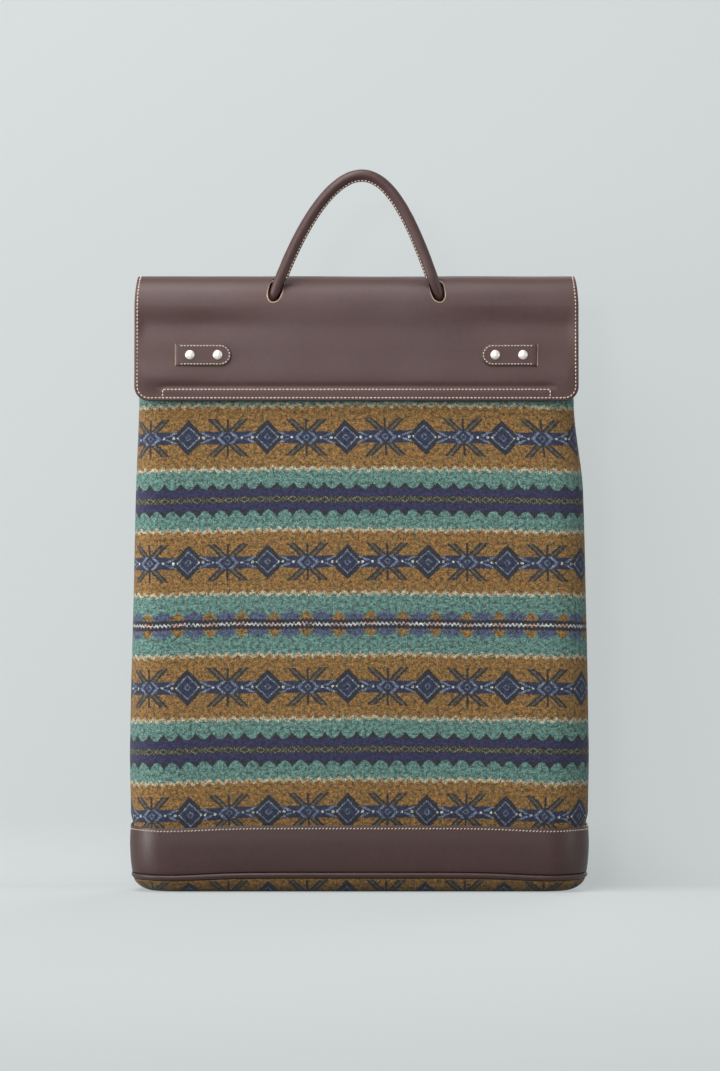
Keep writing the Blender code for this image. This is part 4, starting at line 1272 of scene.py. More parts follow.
class BagColours(PropertyGroup):
    """Colours of the wool, leather, thread and metal."""

    ochre: colour_property("Ochre", "Wool round the stars", (0.189, 0.096, 0.023))
    rust: colour_property("Rust", "Warm yarn in the ochre", (0.202, 0.069, 0.016))
    olive: colour_property("Olive", "Green yarn in the ochre", (0.106, 0.088, 0.026))
    teal: colour_property("Teal", "Wool between the star rows", (0.088, 0.167, 0.145))
    sea: colour_property("Sea green", "Greener yarn in the teal", (0.048, 0.145, 0.113))
    navy: colour_property("Navy", "Wavy dark bands", (0.014, 0.013, 0.051))
    indigo: colour_property("Indigo", "Ground of the stars", (0.011, 0.016, 0.042))
    ink: colour_property("Ink", "Darkest yarn", (0.010, 0.011, 0.018))
    sky: colour_property("Sky", "Light blue outlines", (0.101, 0.132, 0.198))
    slate: colour_property("Slate", "Blue beside the white zigzag", (0.048, 0.063, 0.114))
    moss: colour_property("Moss", "Rays of the stars", (0.066, 0.052, 0.030))
    chain: colour_property("Chain", "Yellow chain in the navy bands", (0.167, 0.158, 0.066))
    cream: colour_property("Cream", "Cream yarn", (0.352, 0.308, 0.211))
    pale: colour_property("Pale", "Nearly white yarn", (0.370, 0.387, 0.387))
    salmon: colour_property("Salmon", "Warm zigzag over the ochre", (0.380, 0.150, 0.070))
    leather: colour_property("Leather", "Brown leather", (0.053, 0.0232, 0.0206))
    # Brown leather darkened by about a quarter, as painted shade for the band and piping
    base_leather: colour_property("Base leather", "Brown leather darkened as painted shade for the base", (0.040, 0.0166, 0.0150))
    raw_edge: colour_property("Raw edge", "Undyed cut edge of the leather", (0.330, 0.240, 0.170))
    thread: colour_property("Thread", "Waxed thread", (0.600, 0.480, 0.370))
    lining: colour_property("Lining", "Cotton lining", (0.070, 0.050, 0.040))
    board: colour_property("Board", "Fibreboard", (0.170, 0.150, 0.130))
    nickel: colour_property("Nickel", "Rivets and studs", (0.78, 0.73, 0.68))
    backdrop: colour_property("Backdrop", "Floor and backdrop", (0.624, 0.665, 0.665))


# Operators


class BAG_OT_wool(Operator):
    """Builds the wool body and the pan under it"""

    bl_idname = "bag.wool"
    bl_label = "Wool body"

    def execute(self, context):
        add_wool_half("wool_front", -1.0, "front_panel")
        add_wool_half("wool_back", 1.0, "back_panel")
        add_wool_pan()
        return {"FINISHED"}


class BAG_OT_inside(Operator):
    """Builds the lining, the base board and the leather binding of the mouth"""

    bl_idname = "bag.inside"
    bl_label = "Lining and mouth"

    def execute(self, context):
        count = 160
        floor = CLOTH + GAP + 0.003 + GAP
        floor_inset = CLOTH + FLOOR_INSET + GAP
        wall = CLOTH + GAP
        foot_inset = BAND_THICKNESS + GAP + wall
        levels = np.concatenate(([BAND_FOOT], np.linspace(BAND_TOP, BAND_TOP + CLOTH_EASE, 4),
                                 np.linspace(0.10, MOUTH_HEIGHT, 24)))
        outer = [full_ring(floor, floor_inset, count), full_ring(PAN_TOP, foot_inset, count)]
        inner = [full_ring(floor + LINING, floor_inset + LINING, count)]
        inner.append(full_ring(PAN_TOP + LINING, foot_inset + LINING, count))
        for height in levels:
            inset = cloth_inset(height) + wall
            ripple = 0.0006 * math.sin(height * 90.0)
            outer.append(slump(full_ring(height, inset, count)))
            ring = slump(full_ring(height, inset + LINING, count))
            ring[:, 1] *= 1.0 - 6.0 * abs(ripple) * smooth_share(MOUTH_HEIGHT - height, 0.0, 0.03)
            inner.append(ring)
        rings = outer + inner[::-1]
        add_loft("lining_bag", rings, looks()["lining"], "bag", nodes=("lining",), slot="lining")
        board = [full_ring(height, inset, count) for inset, height in (
            (floor_inset + 0.0006, CLOTH + GAP),
            (floor_inset, CLOTH + GAP + 0.0006),
            (floor_inset, CLOTH + GAP + 0.0024),
            (floor_inset + 0.0006, CLOTH + GAP + 0.003),
        )]
        add_loft("stiff_board", board, looks()["board"], "bag", nodes=("base_board",), slot="board")
        self.add_binding()
        return {"FINISHED"}

    def add_binding(self):
        """Leather binding folded over the mouth's edge, with its stitches."""
        binding = 0.0012
        skirt = MOUTH_HEIGHT - 0.012
        crown = MOUTH_HEIGHT + GAP
        wall = CLOTH + GAP + LINING
        outside = -GAP - binding
        inside = wall + GAP + binding
        pairs = [(outside + 0.0003, skirt - 0.0002), (outside, skirt + 0.0006), (outside, crown - 0.001)]
        middle = (outside + inside) / 2.0
        half = (inside - outside) / 2.0
        for turn in np.linspace(math.pi, 0.0, 9):
            pairs.append((middle + half * math.cos(turn), crown + binding * math.sin(turn)))
        pairs += [(inside, crown - 0.001), (inside, skirt + 0.0006), (inside - 0.0003, skirt - 0.0002)]
        pairs += [(wall + GAP, skirt), (wall + GAP, crown), (-GAP, crown), (-GAP, skirt)]
        rings = [full_ring(height, inset, 200) for inset, height in pairs]
        add_loft("mouth_edge", rings, looks()["leather"], "bag", closed=True, nodes=("mouth_binding",))
        row = full_ring(skirt + 0.0025, outside - 0.0001, 200)
        add_stitches("mouth_stitches", [(row, ring_normals(row), True)], "bag", slant=0.15)


def ring_normals(ring):
    """Outward level normals of a ring round the body."""
    along = np.roll(ring, -1, axis=0) - np.roll(ring, 1, axis=0)
    normals = unit(np.cross(along, np.array([0.0, 0.0, 1.0])))
    if np.einsum("ij,ij->i", normals[:, :2], ring[:, :2]).sum() < 0.0:
        normals = -normals
    return normals


class BAG_OT_base(Operator):
    """Builds the leather band, its stitches and the piping round the foot"""

    bl_idname = "bag.base"
    bl_label = "Leather base"

    def execute(self, context):
        count = 300
        rings = rounded_wall(BAND_FOOT, BAND_TOP, 0.0, BAND_THICKNESS, count)
        swell = BAND_SWELL * hump(rings[..., 2], 0.045, 0.012)[..., None]
        rings = spread_foot(rings + swell * np.stack([ring_normals(ring) for ring in rings]))
        # The band uses the darker leather copy, which paints shade onto it
        add_loft("leather_band", rings, looks()["base"], "bag", closed=True, nodes=("base_band",))
        row = spread_foot(full_ring(BAND_TOP - 0.0028, -0.0001, count))
        add_stitches("band_stitches", [(row, ring_normals(row), True)], "bag", slant=0.55,
                     sizes=BAND_STITCH, pitch=0.0031)
        piping = []
        for turn in np.linspace(0.0, math.tau, 20, endpoint=False):
            height = PIPING_HEIGHT + PIPING_RADIUS * math.sin(turn)
            inset = PIPING_INSET - PIPING_RADIUS * math.cos(turn)
            piping.append(spread_foot(full_ring(height, inset, count)))
        # The piping uses the same darker leather copy, as painted shade
        add_loft("leather_piping", piping, looks()["base"], "bag", closed=True, nodes=("base_piping",))
        return {"FINISHED"}


class BAG_OT_flap(Operator):
    """Builds the flap with its fold and yoke, its stitches, slots and slits"""

    bl_idname = "bag.flap"
    bl_label = "Leather flap"

    def execute(self, context):
        flap = self.add_leather()
        self.cut_openings(flap)
        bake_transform(flap)
        self.add_rims()
        self.add_rows()
        stations = []
        for height in np.linspace(*STRIP_BEHIND, 9):
            origin, across, _, normal = front_frame(0.0, height, -LEATHER - GAP - 0.001)
            stations.append((origin, normal, across * STRIP_HALF_LENGTH, 1.0))
        add_strip("strip_behind", stations, 0.002, looks()["leather"], "flap", 120, nodes=("flap_stiffener",),
                  relief=lambda ring: flap_relief(ring[:, 0], ring[:, 1], ring[:, 2]))
        return {"FINISHED"}

    def add_leather(self):
        """Thick curved leather from the yoke's foot to the flap's foot."""
        edge = 0.0011
        stations = []
        for travelled, y, z, normal_y, normal_z, half_width in PROFILE:
            fullness = end_fullness(min(travelled, FLAP_LENGTH - travelled), 0.0009)
            normal = np.array([0.0, normal_y, normal_z])
            centre = np.array([0.0, y, z]) - normal * LEATHER / 2.0
            stations.append((centre, normal, np.array([half_width, 0.0, 0.0]), fullness))
        rings = strip_rings(stations, LEATHER, 150, edge, flap_ring_relief)
        faces = loft_faces(rings.shape[0], rings.shape[1])
        return add_piece("leather_flap", rings.reshape(-1, 3), faces, looks()["leather"], None,
                         nodes=("flap", "back_yoke"))

    def cut_openings(self, flap):
        """Cuts the handle's slots and the tabs' slits through the leather."""
        parts = []
        for _, side in SIDES:
            rim = slot_outline(side)
            rings = np.array([[(x, y, depth) for x, y in rim] for depth in (-0.020, 0.006)])
            origin = np.array([side * slot_x(), FOLD_Y + FOLD_RADIUS * math.cos(SLOT_ANGLE),
                               HINGE_HEIGHT + FOLD_RADIUS * math.sin(SLOT_ANGLE)])
            normal = np.array([0.0, math.cos(SLOT_ANGLE), math.sin(SLOT_ANGLE)])
            up = np.array([0.0, normal[2], -normal[1]])
            placed = place_points(rings.reshape(-1, 3), origin, np.array([1.0, 0.0, 0.0]), up, normal)
            parts.append((placed, loft_faces(2, len(rim))))
            x, y = TAB_THICKNESS / 2.0 + GAP, TAB_HALF_WIDTH + GAP
            corners = [(-x, -y), (x, -y), (x, y), (-x, y)]
            rings = np.array([[(a, b, depth) for a, b in corners] for depth in (-0.008, 0.006)])
            placed = place_points(rings.reshape(-1, 3), *front_frame(side * TAB_SLIT, TAB_HEIGHT, 0.0))
            parts.append((placed, loft_faces(2, 4)))
        points, faces = joined(parts)
        cutter = add_piece("opening_cutter", points, faces, looks()["leather"], None)
        hole = flap.modifiers.new("openings", "BOOLEAN")
        hole.operation = "DIFFERENCE"
        hole.solver = "EXACT"
        hole.object = cutter
        bpy.context.view_layer.update()
        evaluated = flap.evaluated_get(bpy.context.evaluated_depsgraph_get())
        made = bpy.data.meshes.new_from_object(evaluated)
        if len(made.vertices) == len(flap.data.vertices):
            raise RuntimeError("The slots and slits were not cut through the flap")
        flap.modifiers.clear()
        flap.data = made
        made.name = "leather_flap"
        made.shade_smooth()
        made.set_sharp_from_angle(angle=math.radians(40.0))
        bpy.data.objects.remove(cutter)

    def add_rims(self):
        """Pale raw edges of the slots and slits."""
        parts = []
        for _, side in SIDES:
            path = []
            for x, along in slot_outline(side):
                angle = SLOT_ANGLE - math.asin(along / FOLD_RADIUS)
                depth = FOLD_RADIUS - 0.0004
                path.append((side * slot_x() + x, FOLD_Y + depth * math.cos(angle),
                             HINGE_HEIGHT + depth * math.sin(angle)))
            path = np.array(path)
            path[:, 1] += flap_relief(path[:, 0], path[:, 1], path[:, 2]) * math.cos(SLOT_ANGLE)
            rings = tube_rings(path, 0.00065, 8, closed=True)
            parts.append((rings, loft_faces(len(rings), 8, closed=True)))
            edge = TAB_THICKNESS / 2.0 + GAP
            heights = np.linspace(TAB_HEIGHT - TAB_HALF_WIDTH, TAB_HEIGHT + TAB_HALF_WIDTH, 24)
            path = flap_surface(np.full(24, side * (TAB_SLIT + edge)), front_distance(heights), -0.0002)[0]
            rings = tube_rings(path, 0.0006, 8)
            parts.append((rings, loft_faces(len(rings), 8)))
        points, faces = joined(parts)
        add_piece("raw_edges", points, faces, looks()["raw"], "flap")

    def add_rows(self):
        """Stitches round the flap, along its strip and round the yoke."""
        margin = STITCH_MARGIN
        corner = FLAP_CORNER
        runs = []
        sides = np.linspace(HINGE_DISTANCE + 0.002, FLAP_LENGTH - corner, 90)
        half = np.interp(sides, PROFILE[:, 0], PROFILE[:, 5])
        turns = np.linspace(0.0, math.pi / 2.0, 14)[1:]
        x = list(half - margin)
        along = list(sides)
        for turn in turns:
            x.append(FLAP_HALF_WIDTH - corner + (corner - margin) * math.cos(turn))
            along.append(FLAP_LENGTH - corner + (corner - margin) * math.sin(turn))
        x = np.array(x + [-value for value in x[::-1]])
        along = np.array(along + along[::-1])
        middle = len(x) // 2
        bridge = np.linspace(x[middle - 1], x[middle], 120)[1:-1]
        x = np.concatenate((x[:middle], bridge, x[middle:]))
        along = np.concatenate((along[:middle], np.full(len(bridge), FLAP_LENGTH - margin), along[middle:]))
        points, normals = flap_surface(x, along)
        runs.append((points, normals, False))
        x = np.linspace(-STRIP_HALF_LENGTH, STRIP_HALF_LENGTH, 200)
        points, normals = flap_surface(x, front_distance(np.full(200, STRIP_TOP - 0.0008)))
        runs.append((points, normals, False))
        for _, side in SIDES:
            heights = np.linspace(FLAP_FOOT + 0.0036, STRIP_TOP - 0.0012, 10)
            points, normals = flap_surface(np.full(10, side * STRIP_HALF_LENGTH), front_distance(heights))
            runs.append((points, normals, False))
        add_stitches("flap_stitches", runs, "flap")
        corner = YOKE_CORNER
        sides = np.linspace(corner, HINGE_DISTANCE - 0.004, 60)
        half = np.interp(sides, PROFILE[:, 0], PROFILE[:, 5])
        x = list((half - margin)[::-1])
        along = list(sides[::-1])
        for turn in turns:
            x.append(YOKE_HALF_WIDTH - corner + (corner - margin) * math.cos(turn))
            along.append(corner - (corner - margin) * math.sin(turn))
        x = np.array(x + [-value for value in x[::-1]])
        along = np.array(along + along[::-1])
        points, normals = flap_surface(x, along)
        add_stitches("yoke_stitches", [(points, normals, False)], "bag")


def slot_x():
    """Distance of a slot from the middle."""
    return handle_reach(HINGE_HEIGHT + FOLD_RADIUS * math.sin(SLOT_ANGLE))


def slot_outline(side):
    """Rounded outline of a slot, across and up from its middle."""
    points = np.array(SLOT_CORNERS)
    for _ in range(3):
        following = np.roll(points, -1, axis=0)
        points = np.stack((0.75 * points + 0.25 * following, 0.25 * points + 0.75 * following), axis=1)
        points = points.reshape(-1, 2)
    points[:, 0] *= side
    return points if side > 0.0 else points[::-1]


def rivet_points(sides=36):
    """Rings of a domed rivet whose flat underside lies on its origin plane."""
    profile = [(RIVET_RADIUS * 0.02, RIVET_DOME)]
    for turn in np.linspace(0.12, math.pi / 2.0 - 0.12, 9):
        height = RIVET_RIM + (RIVET_DOME - RIVET_RIM) * math.cos(turn)
        profile.append((RIVET_RADIUS * 0.94 * math.sin(turn), height))
    profile += [(RIVET_RADIUS * 0.97, 0.00042), (RIVET_RADIUS, 0.00018), (RIVET_RADIUS * 0.97, 0.0)]
    return turned_points(profile, sides)


def add_rivet(name, place, body, layers, node):
    """Domed rivet cap, its shank through the leather and the burr behind."""
    cap = rivet_points()
    end = -layers - BURR_THICKNESS
    shank = turned_points([(RIVET_SHANK, 0.0), (RIVET_SHANK, end)], 16)
    burr = turned_points([(0.0024, end), (0.0031, -layers - 0.0009), (BURR_RADIUS, -layers)], 24)
    parts = []
    for rings, sides in ((cap, 36), (shank, 16), (burr, 24)):
        placed = place_points(rings.reshape(-1, 3), *place)
        parts.append((placed, loft_faces(len(rings), sides)))
    points, faces = joined(parts)
    add_piece(name, points, faces, looks()["nickel"], body, nodes=(node,), slot="nickel", sharp=50.0)


class BAG_OT_tabs(Operator):
    """Builds the closing tabs with their stitches and rivets"""

    bl_idname = "bag.tabs"
    bl_label = "Closing tabs"

    def execute(self, context):
        for name, side in SIDES:
            self.add_tab(name, side)
            for place, x in zip(("inner", "outer"), TAB_RIVETS):
                at = front_frame(side * x, TAB_HEIGHT, 2.0 * GAP + TAB_THICKNESS)
                node = f"tab_rivet_{name}_{place}"
                add_rivet(f"cap_{name}_{place}", at, "flap", LEATHER + TAB_THICKNESS + 2.0 * GAP, node)
        return {"FINISHED"}

    def add_tab(self, name, side):
        """Tab that lies on the flap's front and passes through its slit."""
        outside = GAP + TAB_THICKNESS / 2.0
        inside = -LEATHER - GAP - TAB_THICKNESS / 2.0
        start = TAB_SLIT - TAB_LENGTH
        radius = TAB_HALF_WIDTH
        path = []
        for turn in np.linspace(0.10, math.pi / 2.0, 14):
            path.append((start + radius * (1.0 - math.cos(turn)), outside))
        for distance in np.linspace(start + radius, TAB_SLIT - TAB_BEND, 14)[1:-1]:
            path.append((distance, outside))
        for turn in np.linspace(math.pi / 2.0, 0.0, 6):
            depth = outside - TAB_BEND * (1.0 - math.sin(turn))
            path.append((TAB_SLIT - TAB_BEND * (1.0 - math.cos(turn)), depth))
        for turn in np.linspace(math.pi, 1.5 * math.pi, 6):
            depth = inside + TAB_BEND * (1.0 + math.sin(turn))
            path.append((TAB_SLIT + TAB_BEND * (1.0 + math.cos(turn)), depth))
        path += [(TAB_SLIT + share * TAB_TAIL, inside) for share in (0.4, 0.7, 1.0)]
        stations = []
        for number, (distance, depth) in enumerate(path):
            before, after = neighbours(path, number)
            along = unit(np.array([after[0] - before[0], after[1] - before[1]]))
            origin, across, up, normal = front_frame(side * distance, TAB_HEIGHT, depth)
            facing = unit(across * (-side * along[1]) + normal * along[0])
            half = round_end(distance - start, radius)
            stations.append((origin, facing, up * half, end_fullness(distance - start, 0.0008)))
        add_strip(f"closing_tab_{name}", stations, TAB_THICKNESS, looks()["leather"], "flap",
                  nodes=(f"flap_tab_{name}",), edge=0.0008)
        inset = 0.0018
        row = [(TAB_SLIT - 0.003, radius - inset)]
        bend = radius - inset
        for turn in np.linspace(math.pi / 2.0, -math.pi / 2.0, 24):
            row.append((start + radius - bend * math.cos(turn), bend * math.sin(turn)))
        row.append((TAB_SLIT - 0.003, -radius + inset))
        points, normals = [], []
        for distance, rise in row:
            origin, _, up, normal = front_frame(side * distance, TAB_HEIGHT, GAP + TAB_THICKNESS)
            points.append(origin + up * rise)
            normals.append(normal)
        add_stitches(f"tab_stitches_{name}", [(points, normals, False)], "flap",
                     sizes=TAB_STITCH, pitch=0.0029)


class BAG_OT_handle(Operator):
    """Builds the rolled handle, its seam and the loops that hold it"""

    bl_idname = "bag.handle"
    bl_label = "Rolled handle"

    def execute(self, context):
        self.add_roll()
        for name, side in SIDES:
            self.add_loop(name, side)
        return {"FINISHED"}

    def add_roll(self):
        """Rolled leather with a stitched flange on the inner side of the arch."""
        places = [math.copysign(abs(place) ** 0.85, place) for place in np.linspace(-1.0, 1.0, 150)]
        degrees = np.array([0, 20, 40, 58, 68, 74, 78, 84, 96, 102, 106, 112, 122, 140, 160, 180,
                            200, 220, 240, 260, 280, 300, 320, 340], float)
        raised = np.array([0, 0, 0, 0, 0.12, 0.62, 0.94, 1, 1, 0.94, 0.62, 0.12] + [0] * 12, float)
        turns = np.radians(degrees)
        rings, stitch_path = [], []

        def ring_at(centre, inward, sideways, radius, seam, crumple):
            reach = radius * (1.0 + crumple) + raised * seam
            ring = centre + np.outer(reach * np.cos(turns), sideways)
            return ring + np.outer(reach * np.sin(turns), inward)

        for place in places:
            centre, along, inward, sideways = handle_axes(place)
            rise = centre[2] - PIVOT_Z
            radius = lerp(HANDLE_END_RADIUS, HANDLE_RADIUS, float(smooth_share(rise, 0.0, HANDLE_FLARE)))
            seam = SEAM_HEIGHT * float(smooth_share(rise, 0.016, 0.030))
            crumple = 0.028 * rough_field(np.array([[place * 9.0, t, 0.0] for t in np.cos(turns)]), 0.35, 2.0)
            crumple *= float(smooth_share(rise, 0.012, 0.03))
            if place in (places[0], places[-1]):
                ends = []
                for turn in (0.3, 0.6, 0.9, 1.2, 1.45):
                    end = centre + along * (HANDLE_END_RADIUS * math.sin(turn) * place)
                    end_radius = HANDLE_END_RADIUS * math.cos(turn)
                    ends.append(ring_at(end, inward, sideways, end_radius, 0.0, crumple))
                body_ring = ring_at(centre, inward, sideways, radius, seam, crumple)
                rings += ends[::-1] + [body_ring] if place < 0.0 else [body_ring] + ends
            else:
                rings.append(ring_at(centre, inward, sideways, radius, seam, crumple))
            if rise > 0.024:
                stitch_path.append((centre + inward * (HANDLE_RADIUS + 0.50 * seam), sideways))
        add_loft("rolled_handle", rings, looks()["leather"], "handle", nodes=("handle",), sharp=60.0)
        runs = []
        for face in (-1.0, 1.0):
            path = [centre + sideways * face * 0.0016 for centre, sideways in stitch_path]
            normals = [sideways * face for _, sideways in stitch_path]
            runs.append((path, normals, False))
        add_stitches("handle_stitches", runs, "handle", sizes=HANDLE_STITCH, pitch=0.0031)

    def add_loop(self, name, side):
        """Leather loop under the fold that carries one end of the handle, with its rivet."""
        trough = HANDLE_END_RADIUS + 0.0004 + LOOP_THICKNESS / 2.0
        under = FOLD_RADIUS - LEATHER - GAP - LOOP_THICKNESS / 2.0
        bend = 0.007
        bend_y = PIVOT_Y + trough + bend
        bend_z = HINGE_HEIGHT + math.sqrt((under - bend) ** 2 - (bend_y - FOLD_Y) ** 2)
        meeting = math.atan2(bend_z - HINGE_HEIGHT, bend_y - FOLD_Y)
        path = [(PIVOT_Y + trough * math.cos(t), PIVOT_Z + trough * math.sin(t))
                for t in np.linspace(math.radians(205.0), math.tau, 22)]
        path += [(bend_y + bend * math.cos(t), bend_z + bend * math.sin(t))
                 for t in np.linspace(math.pi, meeting, 9)]
        path += [(FOLD_Y + under * math.cos(t), HINGE_HEIGHT + under * math.sin(t))
                 for t in np.linspace(meeting, math.radians(30.0), 20)[1:]]
        stations = []
        for number, (y, z) in enumerate(path):
            before, after = neighbours(path, number)
            along = unit(np.array([0.0, after[0] - before[0], after[1] - before[1]]))
            normal = np.cross(along, np.array([1.0, 0.0, 0.0]))
            fullness = 0.55 if number in (0, len(path) - 1) else 1.0
            centre = np.array([side * HANDLE_HALF_SPREAD, y, z])
            stations.append((centre, normal, np.array([LOOP_HALF_WIDTH, 0.0, 0.0]), fullness))
        add_strip(f"loop_{name}", stations, LOOP_THICKNESS, looks()["leather"], "flap",
                  nodes=(f"handle_loop_{name}",), edge=0.0007)
        normal = np.array([0.0, math.cos(LOOP_RIVET_ANGLE), math.sin(LOOP_RIVET_ANGLE)])
        origin = np.array([side * HANDLE_HALF_SPREAD, FOLD_Y, HINGE_HEIGHT]) + normal * (FOLD_RADIUS + GAP)
        at = (origin, np.array([1.0, 0.0, 0.0]), np.array([0.0, normal[2], -normal[1]]), normal)
        add_rivet(f"loop_rivet_{name}", at, "flap", LEATHER + GAP + LOOP_THICKNESS, f"handle_rivet_{name}")


class BAG_OT_straps(Operator):
    """Builds the shoulder straps, their tails, studs and rivets"""

    bl_idname = "bag.straps"
    bl_label = "Shoulder straps"

    def execute(self, context):
        for name, side in SIDES:
            self.add_strap(name, side)
            self.add_tail(name, side)
            self.add_stud(name, side)
            for place, height in zip(("upper", "lower"), STRAP_RIVETS):
                origin, across, along, normal = strap_axes(side, height)
                at = (origin + normal * (2.0 * GAP + STRAP_THICKNESS), across, along, normal)
                node = f"strap_rivet_{name}_{place}"
                add_rivet(f"cap_strap_{name}_{place}", at, "bag", STRAP_THICKNESS + LEATHER + GAP, node)
        return {"FINISHED"}

    def band(self, name, side, top, foot, radius, lift, narrowing, thickness, node, inset):
        """Long strap with a round upper end and a row of stitches inside each edge."""
        heights = [top - radius * (1.0 - math.cos(turn)) for turn in np.linspace(0.10, math.pi / 2.0, 12)]
        heights += list(np.linspace(heights[-1], foot + 0.0012, 76)[1:])
        heights += [foot + 0.0007, foot + 0.0003, foot]
        stations, left, right, normals = [], [], [], []
        for height in heights:
            origin, across, _, normal = strap_axes(side, height)
            from_end = top - height
            half = round_end(from_end, radius) - narrowing(height)
            centre = origin + normal * lift(height)
            fullness = end_fullness(min(from_end, height - foot), 0.0009)
            stations.append((centre, normal, across * half, fullness))
            surface = centre + normal * thickness / 2.0
            if from_end >= radius * 0.35:
                reach = half - inset
                left.append(surface - across * reach)
                right.append(surface + across * reach)
                normals.append(normal)
        add_strip(name, stations, thickness, looks()["leather"], "bag", nodes=(node,), edge=0.0010)
        arc, arc_normals = [], []
        for turn in np.linspace(-0.78, 0.78, 12):
            height = top - radius + (radius - inset) * math.cos(turn)
            origin, across, _, normal = strap_axes(side, height)
            centre = origin + normal * (lift(height) + thickness / 2.0)
            arc.append(centre + across * (radius - inset) * math.sin(turn))
            arc_normals.append(normal)
        path = left[::-1] + arc + right
        facing = normals[::-1] + arc_normals + normals
        add_stitches(f"{name}_stitches", [(path, facing, False)], "bag")

    def add_strap(self, name, side):
        """Shoulder strap from the yoke to the stud, narrower at its lower end."""

        def narrowing(height):
            share = float(smooth_share(height, TAIL_TOP, TAIL_TOP + 2.0 * STRAP_HALF_WIDTH))
            return (STRAP_HALF_WIDTH - STRAP_END_HALF_WIDTH) * (1.0 - share)

        self.band(f"carry_strap_{name}", side, STRAP_TOP, STRAP_END, STRAP_HALF_WIDTH,
                  lambda height: GAP + STRAP_THICKNESS / 2.0, narrowing, STRAP_THICKNESS,
                  f"shoulder_strap_{name}", 0.0030)

    def add_tail(self, name, side):
        """Narrow strap from the base band up to the stud, with a raised rim round each hole."""
        self.band(f"tail_{name}", side, TAIL_TOP, TAIL_FOOT, TAIL_HALF_WIDTH, tail_lift,
                  lambda height: 0.0, TAIL_THICKNESS, f"strap_tail_{name}", 0.0024)
        parts = []
        for number in (-1, 1):
            height = STUD_HEIGHT + number * TAIL_HOLE_PITCH
            origin, across, along, normal = strap_axes(side, height)
            origin = origin + normal * (tail_lift(height) + TAIL_THICKNESS / 2.0)
            rings = turned_points(HOLE_RIM, 24)
            placed = place_points(rings.reshape(-1, 3), origin, across, along, normal)
            parts.append((placed, loft_faces(len(rings), 24)))
        points, faces = joined(parts)
        add_piece(f"hole_rims_{name}", points, faces, looks()["raw"], "bag")

    def add_stud(self, name, side):
        """Ball stud on which the tail is buttoned."""
        ball = STUD_BALL
        centre = 2.0 * GAP + STRAP_THICKNESS + TAIL_THICKNESS + GAP + ball
        profile = [(0.0044, -0.001), (0.0045, -0.0008), (0.0045, -0.0001), (0.0020, 0.0)]
        for turn in np.linspace(math.pi - math.asin(0.002 / ball), 0.05, 18):
            profile.append((ball * math.sin(turn), centre + ball * math.cos(turn)))
        rings = turned_points(profile, 36)
        placed = place_points(rings.reshape(-1, 3), *strap_axes(side, STUD_HEIGHT))
        add_piece(f"stud_{name}", placed, loft_faces(len(rings), 36), looks()["nickel"], "bag",
                  nodes=(f"strap_stud_{name}",), slot="nickel", sharp=50.0)


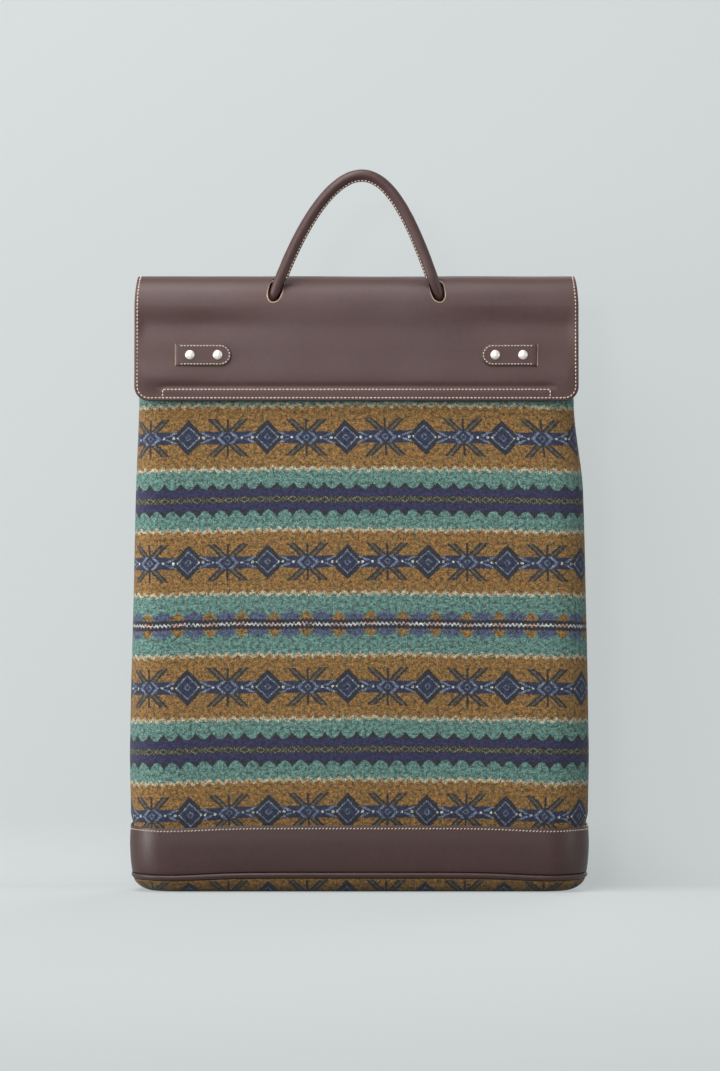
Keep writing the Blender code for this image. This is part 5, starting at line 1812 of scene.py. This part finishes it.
class BAG_OT_stage(Operator):
    """Builds the floor, backdrop, lights and camera"""

    bl_idname = "bag.stage"
    bl_label = "Stage"

    def execute(self, context):
        self.add_backdrop(context)
        for softbox in SOFTBOXES:
            self.add_light(context, *softbox)
        self.add_world(context)
        camera_data = bpy.data.cameras.new("Camera")
        camera = bpy.data.objects.new("Camera", camera_data)
        context.scene.collection.objects.link(camera)
        camera.location = CAMERA_PLACE
        camera.rotation_euler = (math.pi / 2.0, 0.0, 0.0)
        camera_data.sensor_width = CAMERA_SENSOR
        camera_data.lens = CAMERA_LENS
        camera_data.clip_start = 0.05
        camera_data.clip_end = 60.0
        context.scene.camera = camera
        context.scene.view_settings.view_transform = "Standard"
        return {"FINISHED"}

    def add_backdrop(self, context):
        """Pale floor that turns up into a backdrop behind the bag."""
        path = [(-STAGE_REACH, 0.0), (-1.0, 0.0), (SWEEP_START, 0.0)]
        foot = 2 * (len(path) - 1)
        for turn in np.linspace(0.0, math.pi / 2.0, 10)[1:]:
            path.append((SWEEP_START + SWEEP_RADIUS * math.sin(turn), SWEEP_RADIUS * (1.0 - math.cos(turn))))
        path.append((SWEEP_START + SWEEP_RADIUS, WALL_TOP))
        points = []
        for y, z in path:
            points += [(side * STAGE_HALF_WIDTH, y, z - FLOOR_DROP) for _, side in SIDES]
        faces = [(2 * row, 2 * row + 1, 2 * row + 3, 2 * row + 2) for row in range(len(path) - 1)]
        count = len(points)
        points += [(side * STAGE_HALF_WIDTH, STAGE_REACH, -FLOOR_DROP) for _, side in SIDES]
        faces.append((foot, foot + 1, count + 1, count))
        mesh = bpy.data.meshes.new("backdrop")
        mesh.from_pydata(points, [], faces)
        mesh.shade_smooth()
        backdrop = bpy.data.objects.new("backdrop", mesh)
        context.scene.collection.objects.link(backdrop)
        mesh.materials.append(self.backdrop_material(context.scene.bag_colours.backdrop))

    def backdrop_material(self, colour):
        """Pale surface that keeps the shadow, and is clear from behind and to light from there."""
        made, tree, shader = start_material("Backdrop")
        shader.inputs["Roughness"].default_value = 1.0
        shader.inputs["Specular IOR Level"].default_value = 0.0
        surface = tree.nodes.new("ShaderNodeNewGeometry")
        split = tree.nodes.new("ShaderNodeSeparateXYZ")
        tree.links.new(surface.outputs["Normal"], split.inputs[0])
        wall = tuple(WALL_SHADE * channel for channel in colour)
        floor = tuple(FLOOR_SHADE * channel for channel in colour)
        level = mapped(tree, split.outputs[2], 0.0, 1.0, 0.0, 1.0)
        tree.links.new(mix_colour(tree, wall, floor, level), shader.inputs["Base Color"])
        glow = tree.nodes.new("ShaderNodeLightPath")
        tree.links.new(seen_share(tree, glow), shader.inputs["Emission Strength"])
        wall_glow = tuple(WALL_GLOW * channel for channel in colour)
        floor_glow = tuple(FLOOR_GLOW * channel for channel in colour)
        tree.links.new(mix_colour(tree, wall_glow, floor_glow, level), shader.inputs["Emission Color"])
        output = tree.nodes["Material Output"]
        clear = tree.nodes.new("ShaderNodeBsdfTransparent")
        facing = tree.nodes.new("ShaderNodeNewGeometry")
        mixed = tree.nodes.new("ShaderNodeMixShader")
        open_wall = Signal(tree, glow.outputs["Is Shadow Ray"]) * (Signal(tree, level) * -1.0 + 1.0)
        tree.links.new((Signal(tree, facing.outputs["Backfacing"]) | open_wall).socket, mixed.inputs[0])
        tree.links.new(shader.outputs[0], mixed.inputs[1])
        tree.links.new(clear.outputs[0], mixed.inputs[2])
        tree.links.new(mixed.outputs[0], output.inputs[0])
        return made

    def add_light(self, context, name, place, target, size, power):
        """Square soft light aimed at a point."""
        data = bpy.data.lights.new(name, "AREA")
        data.size = size
        data.energy = power
        light = bpy.data.objects.new(name, data)
        light.location = place
        light.rotation_mode = "QUATERNION"
        light.rotation_quaternion = (Vector(target) - Vector(place)).to_track_quat("-Z", "Y")
        context.scene.collection.objects.link(light)

    def add_world(self, context):
        """Even pale surroundings."""
        world = bpy.data.worlds.new("Surroundings")
        context.scene.world = world
        world.use_nodes = True
        tree = world.node_tree
        background = tree.nodes["Background"]
        background.inputs["Color"].default_value = (*SURROUNDINGS, 1.0)
        background.inputs["Strength"].default_value = SURROUNDINGS_STRENGTH
        seen = tree.nodes.new("ShaderNodeBackground")
        seen.inputs["Color"].default_value = (*context.scene.bag_colours.backdrop, 1.0)
        path = tree.nodes.new("ShaderNodeLightPath")
        mixed = tree.nodes.new("ShaderNodeMixShader")
        tree.links.new(seen_share(tree, path), mixed.inputs[0])
        tree.links.new(background.outputs[0], mixed.inputs[1])
        tree.links.new(seen.outputs[0], mixed.inputs[2])
        tree.links.new(mixed.outputs[0], tree.nodes["World Output"].inputs[0])


class BAG_PT_sidebar(Panel):
    """Buttons and settings in the sidebar"""

    bl_label = "Wool backpack"
    bl_idname = "BAG_PT_sidebar"
    bl_space_type = "VIEW_3D"
    bl_region_type = "UI"
    bl_category = "Backpack"

    def draw(self, context):
        for operator in OPERATORS:
            self.layout.operator(operator.bl_idname)
        for settings in (context.scene.bag_sizes, context.scene.bag_colours):
            box = self.layout.box()
            for name in settings.__annotations__:
                box.prop(settings, name)


OPERATORS = (
    BAG_OT_stage,
    BAG_OT_wool,
    BAG_OT_inside,
    BAG_OT_base,
    BAG_OT_flap,
    BAG_OT_tabs,
    BAG_OT_handle,
    BAG_OT_straps,
)
CLASSES = (BagSizes, BagColours, *OPERATORS, BAG_PT_sidebar)


def register():
    """Adds the classes and settings to Blender."""
    for made in CLASSES:
        bpy.utils.register_class(made)
    bpy.types.Scene.bag_sizes = PointerProperty(type=BagSizes)
    bpy.types.Scene.bag_colours = PointerProperty(type=BagColours)


def unregister():
    """Takes the classes and settings out of Blender."""
    del bpy.types.Scene.bag_colours
    del bpy.types.Scene.bag_sizes
    for made in reversed(CLASSES):
        bpy.utils.unregister_class(made)


def main():
    """Registers the add-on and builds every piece."""
    register()
    for operator in OPERATORS:
        group, name = operator.bl_idname.split(".")
        if getattr(getattr(bpy.ops, group), name)() != {"FINISHED"}:
            raise RuntimeError(f"{operator.bl_label} was not built")


if __name__ == "__main__":
    main()
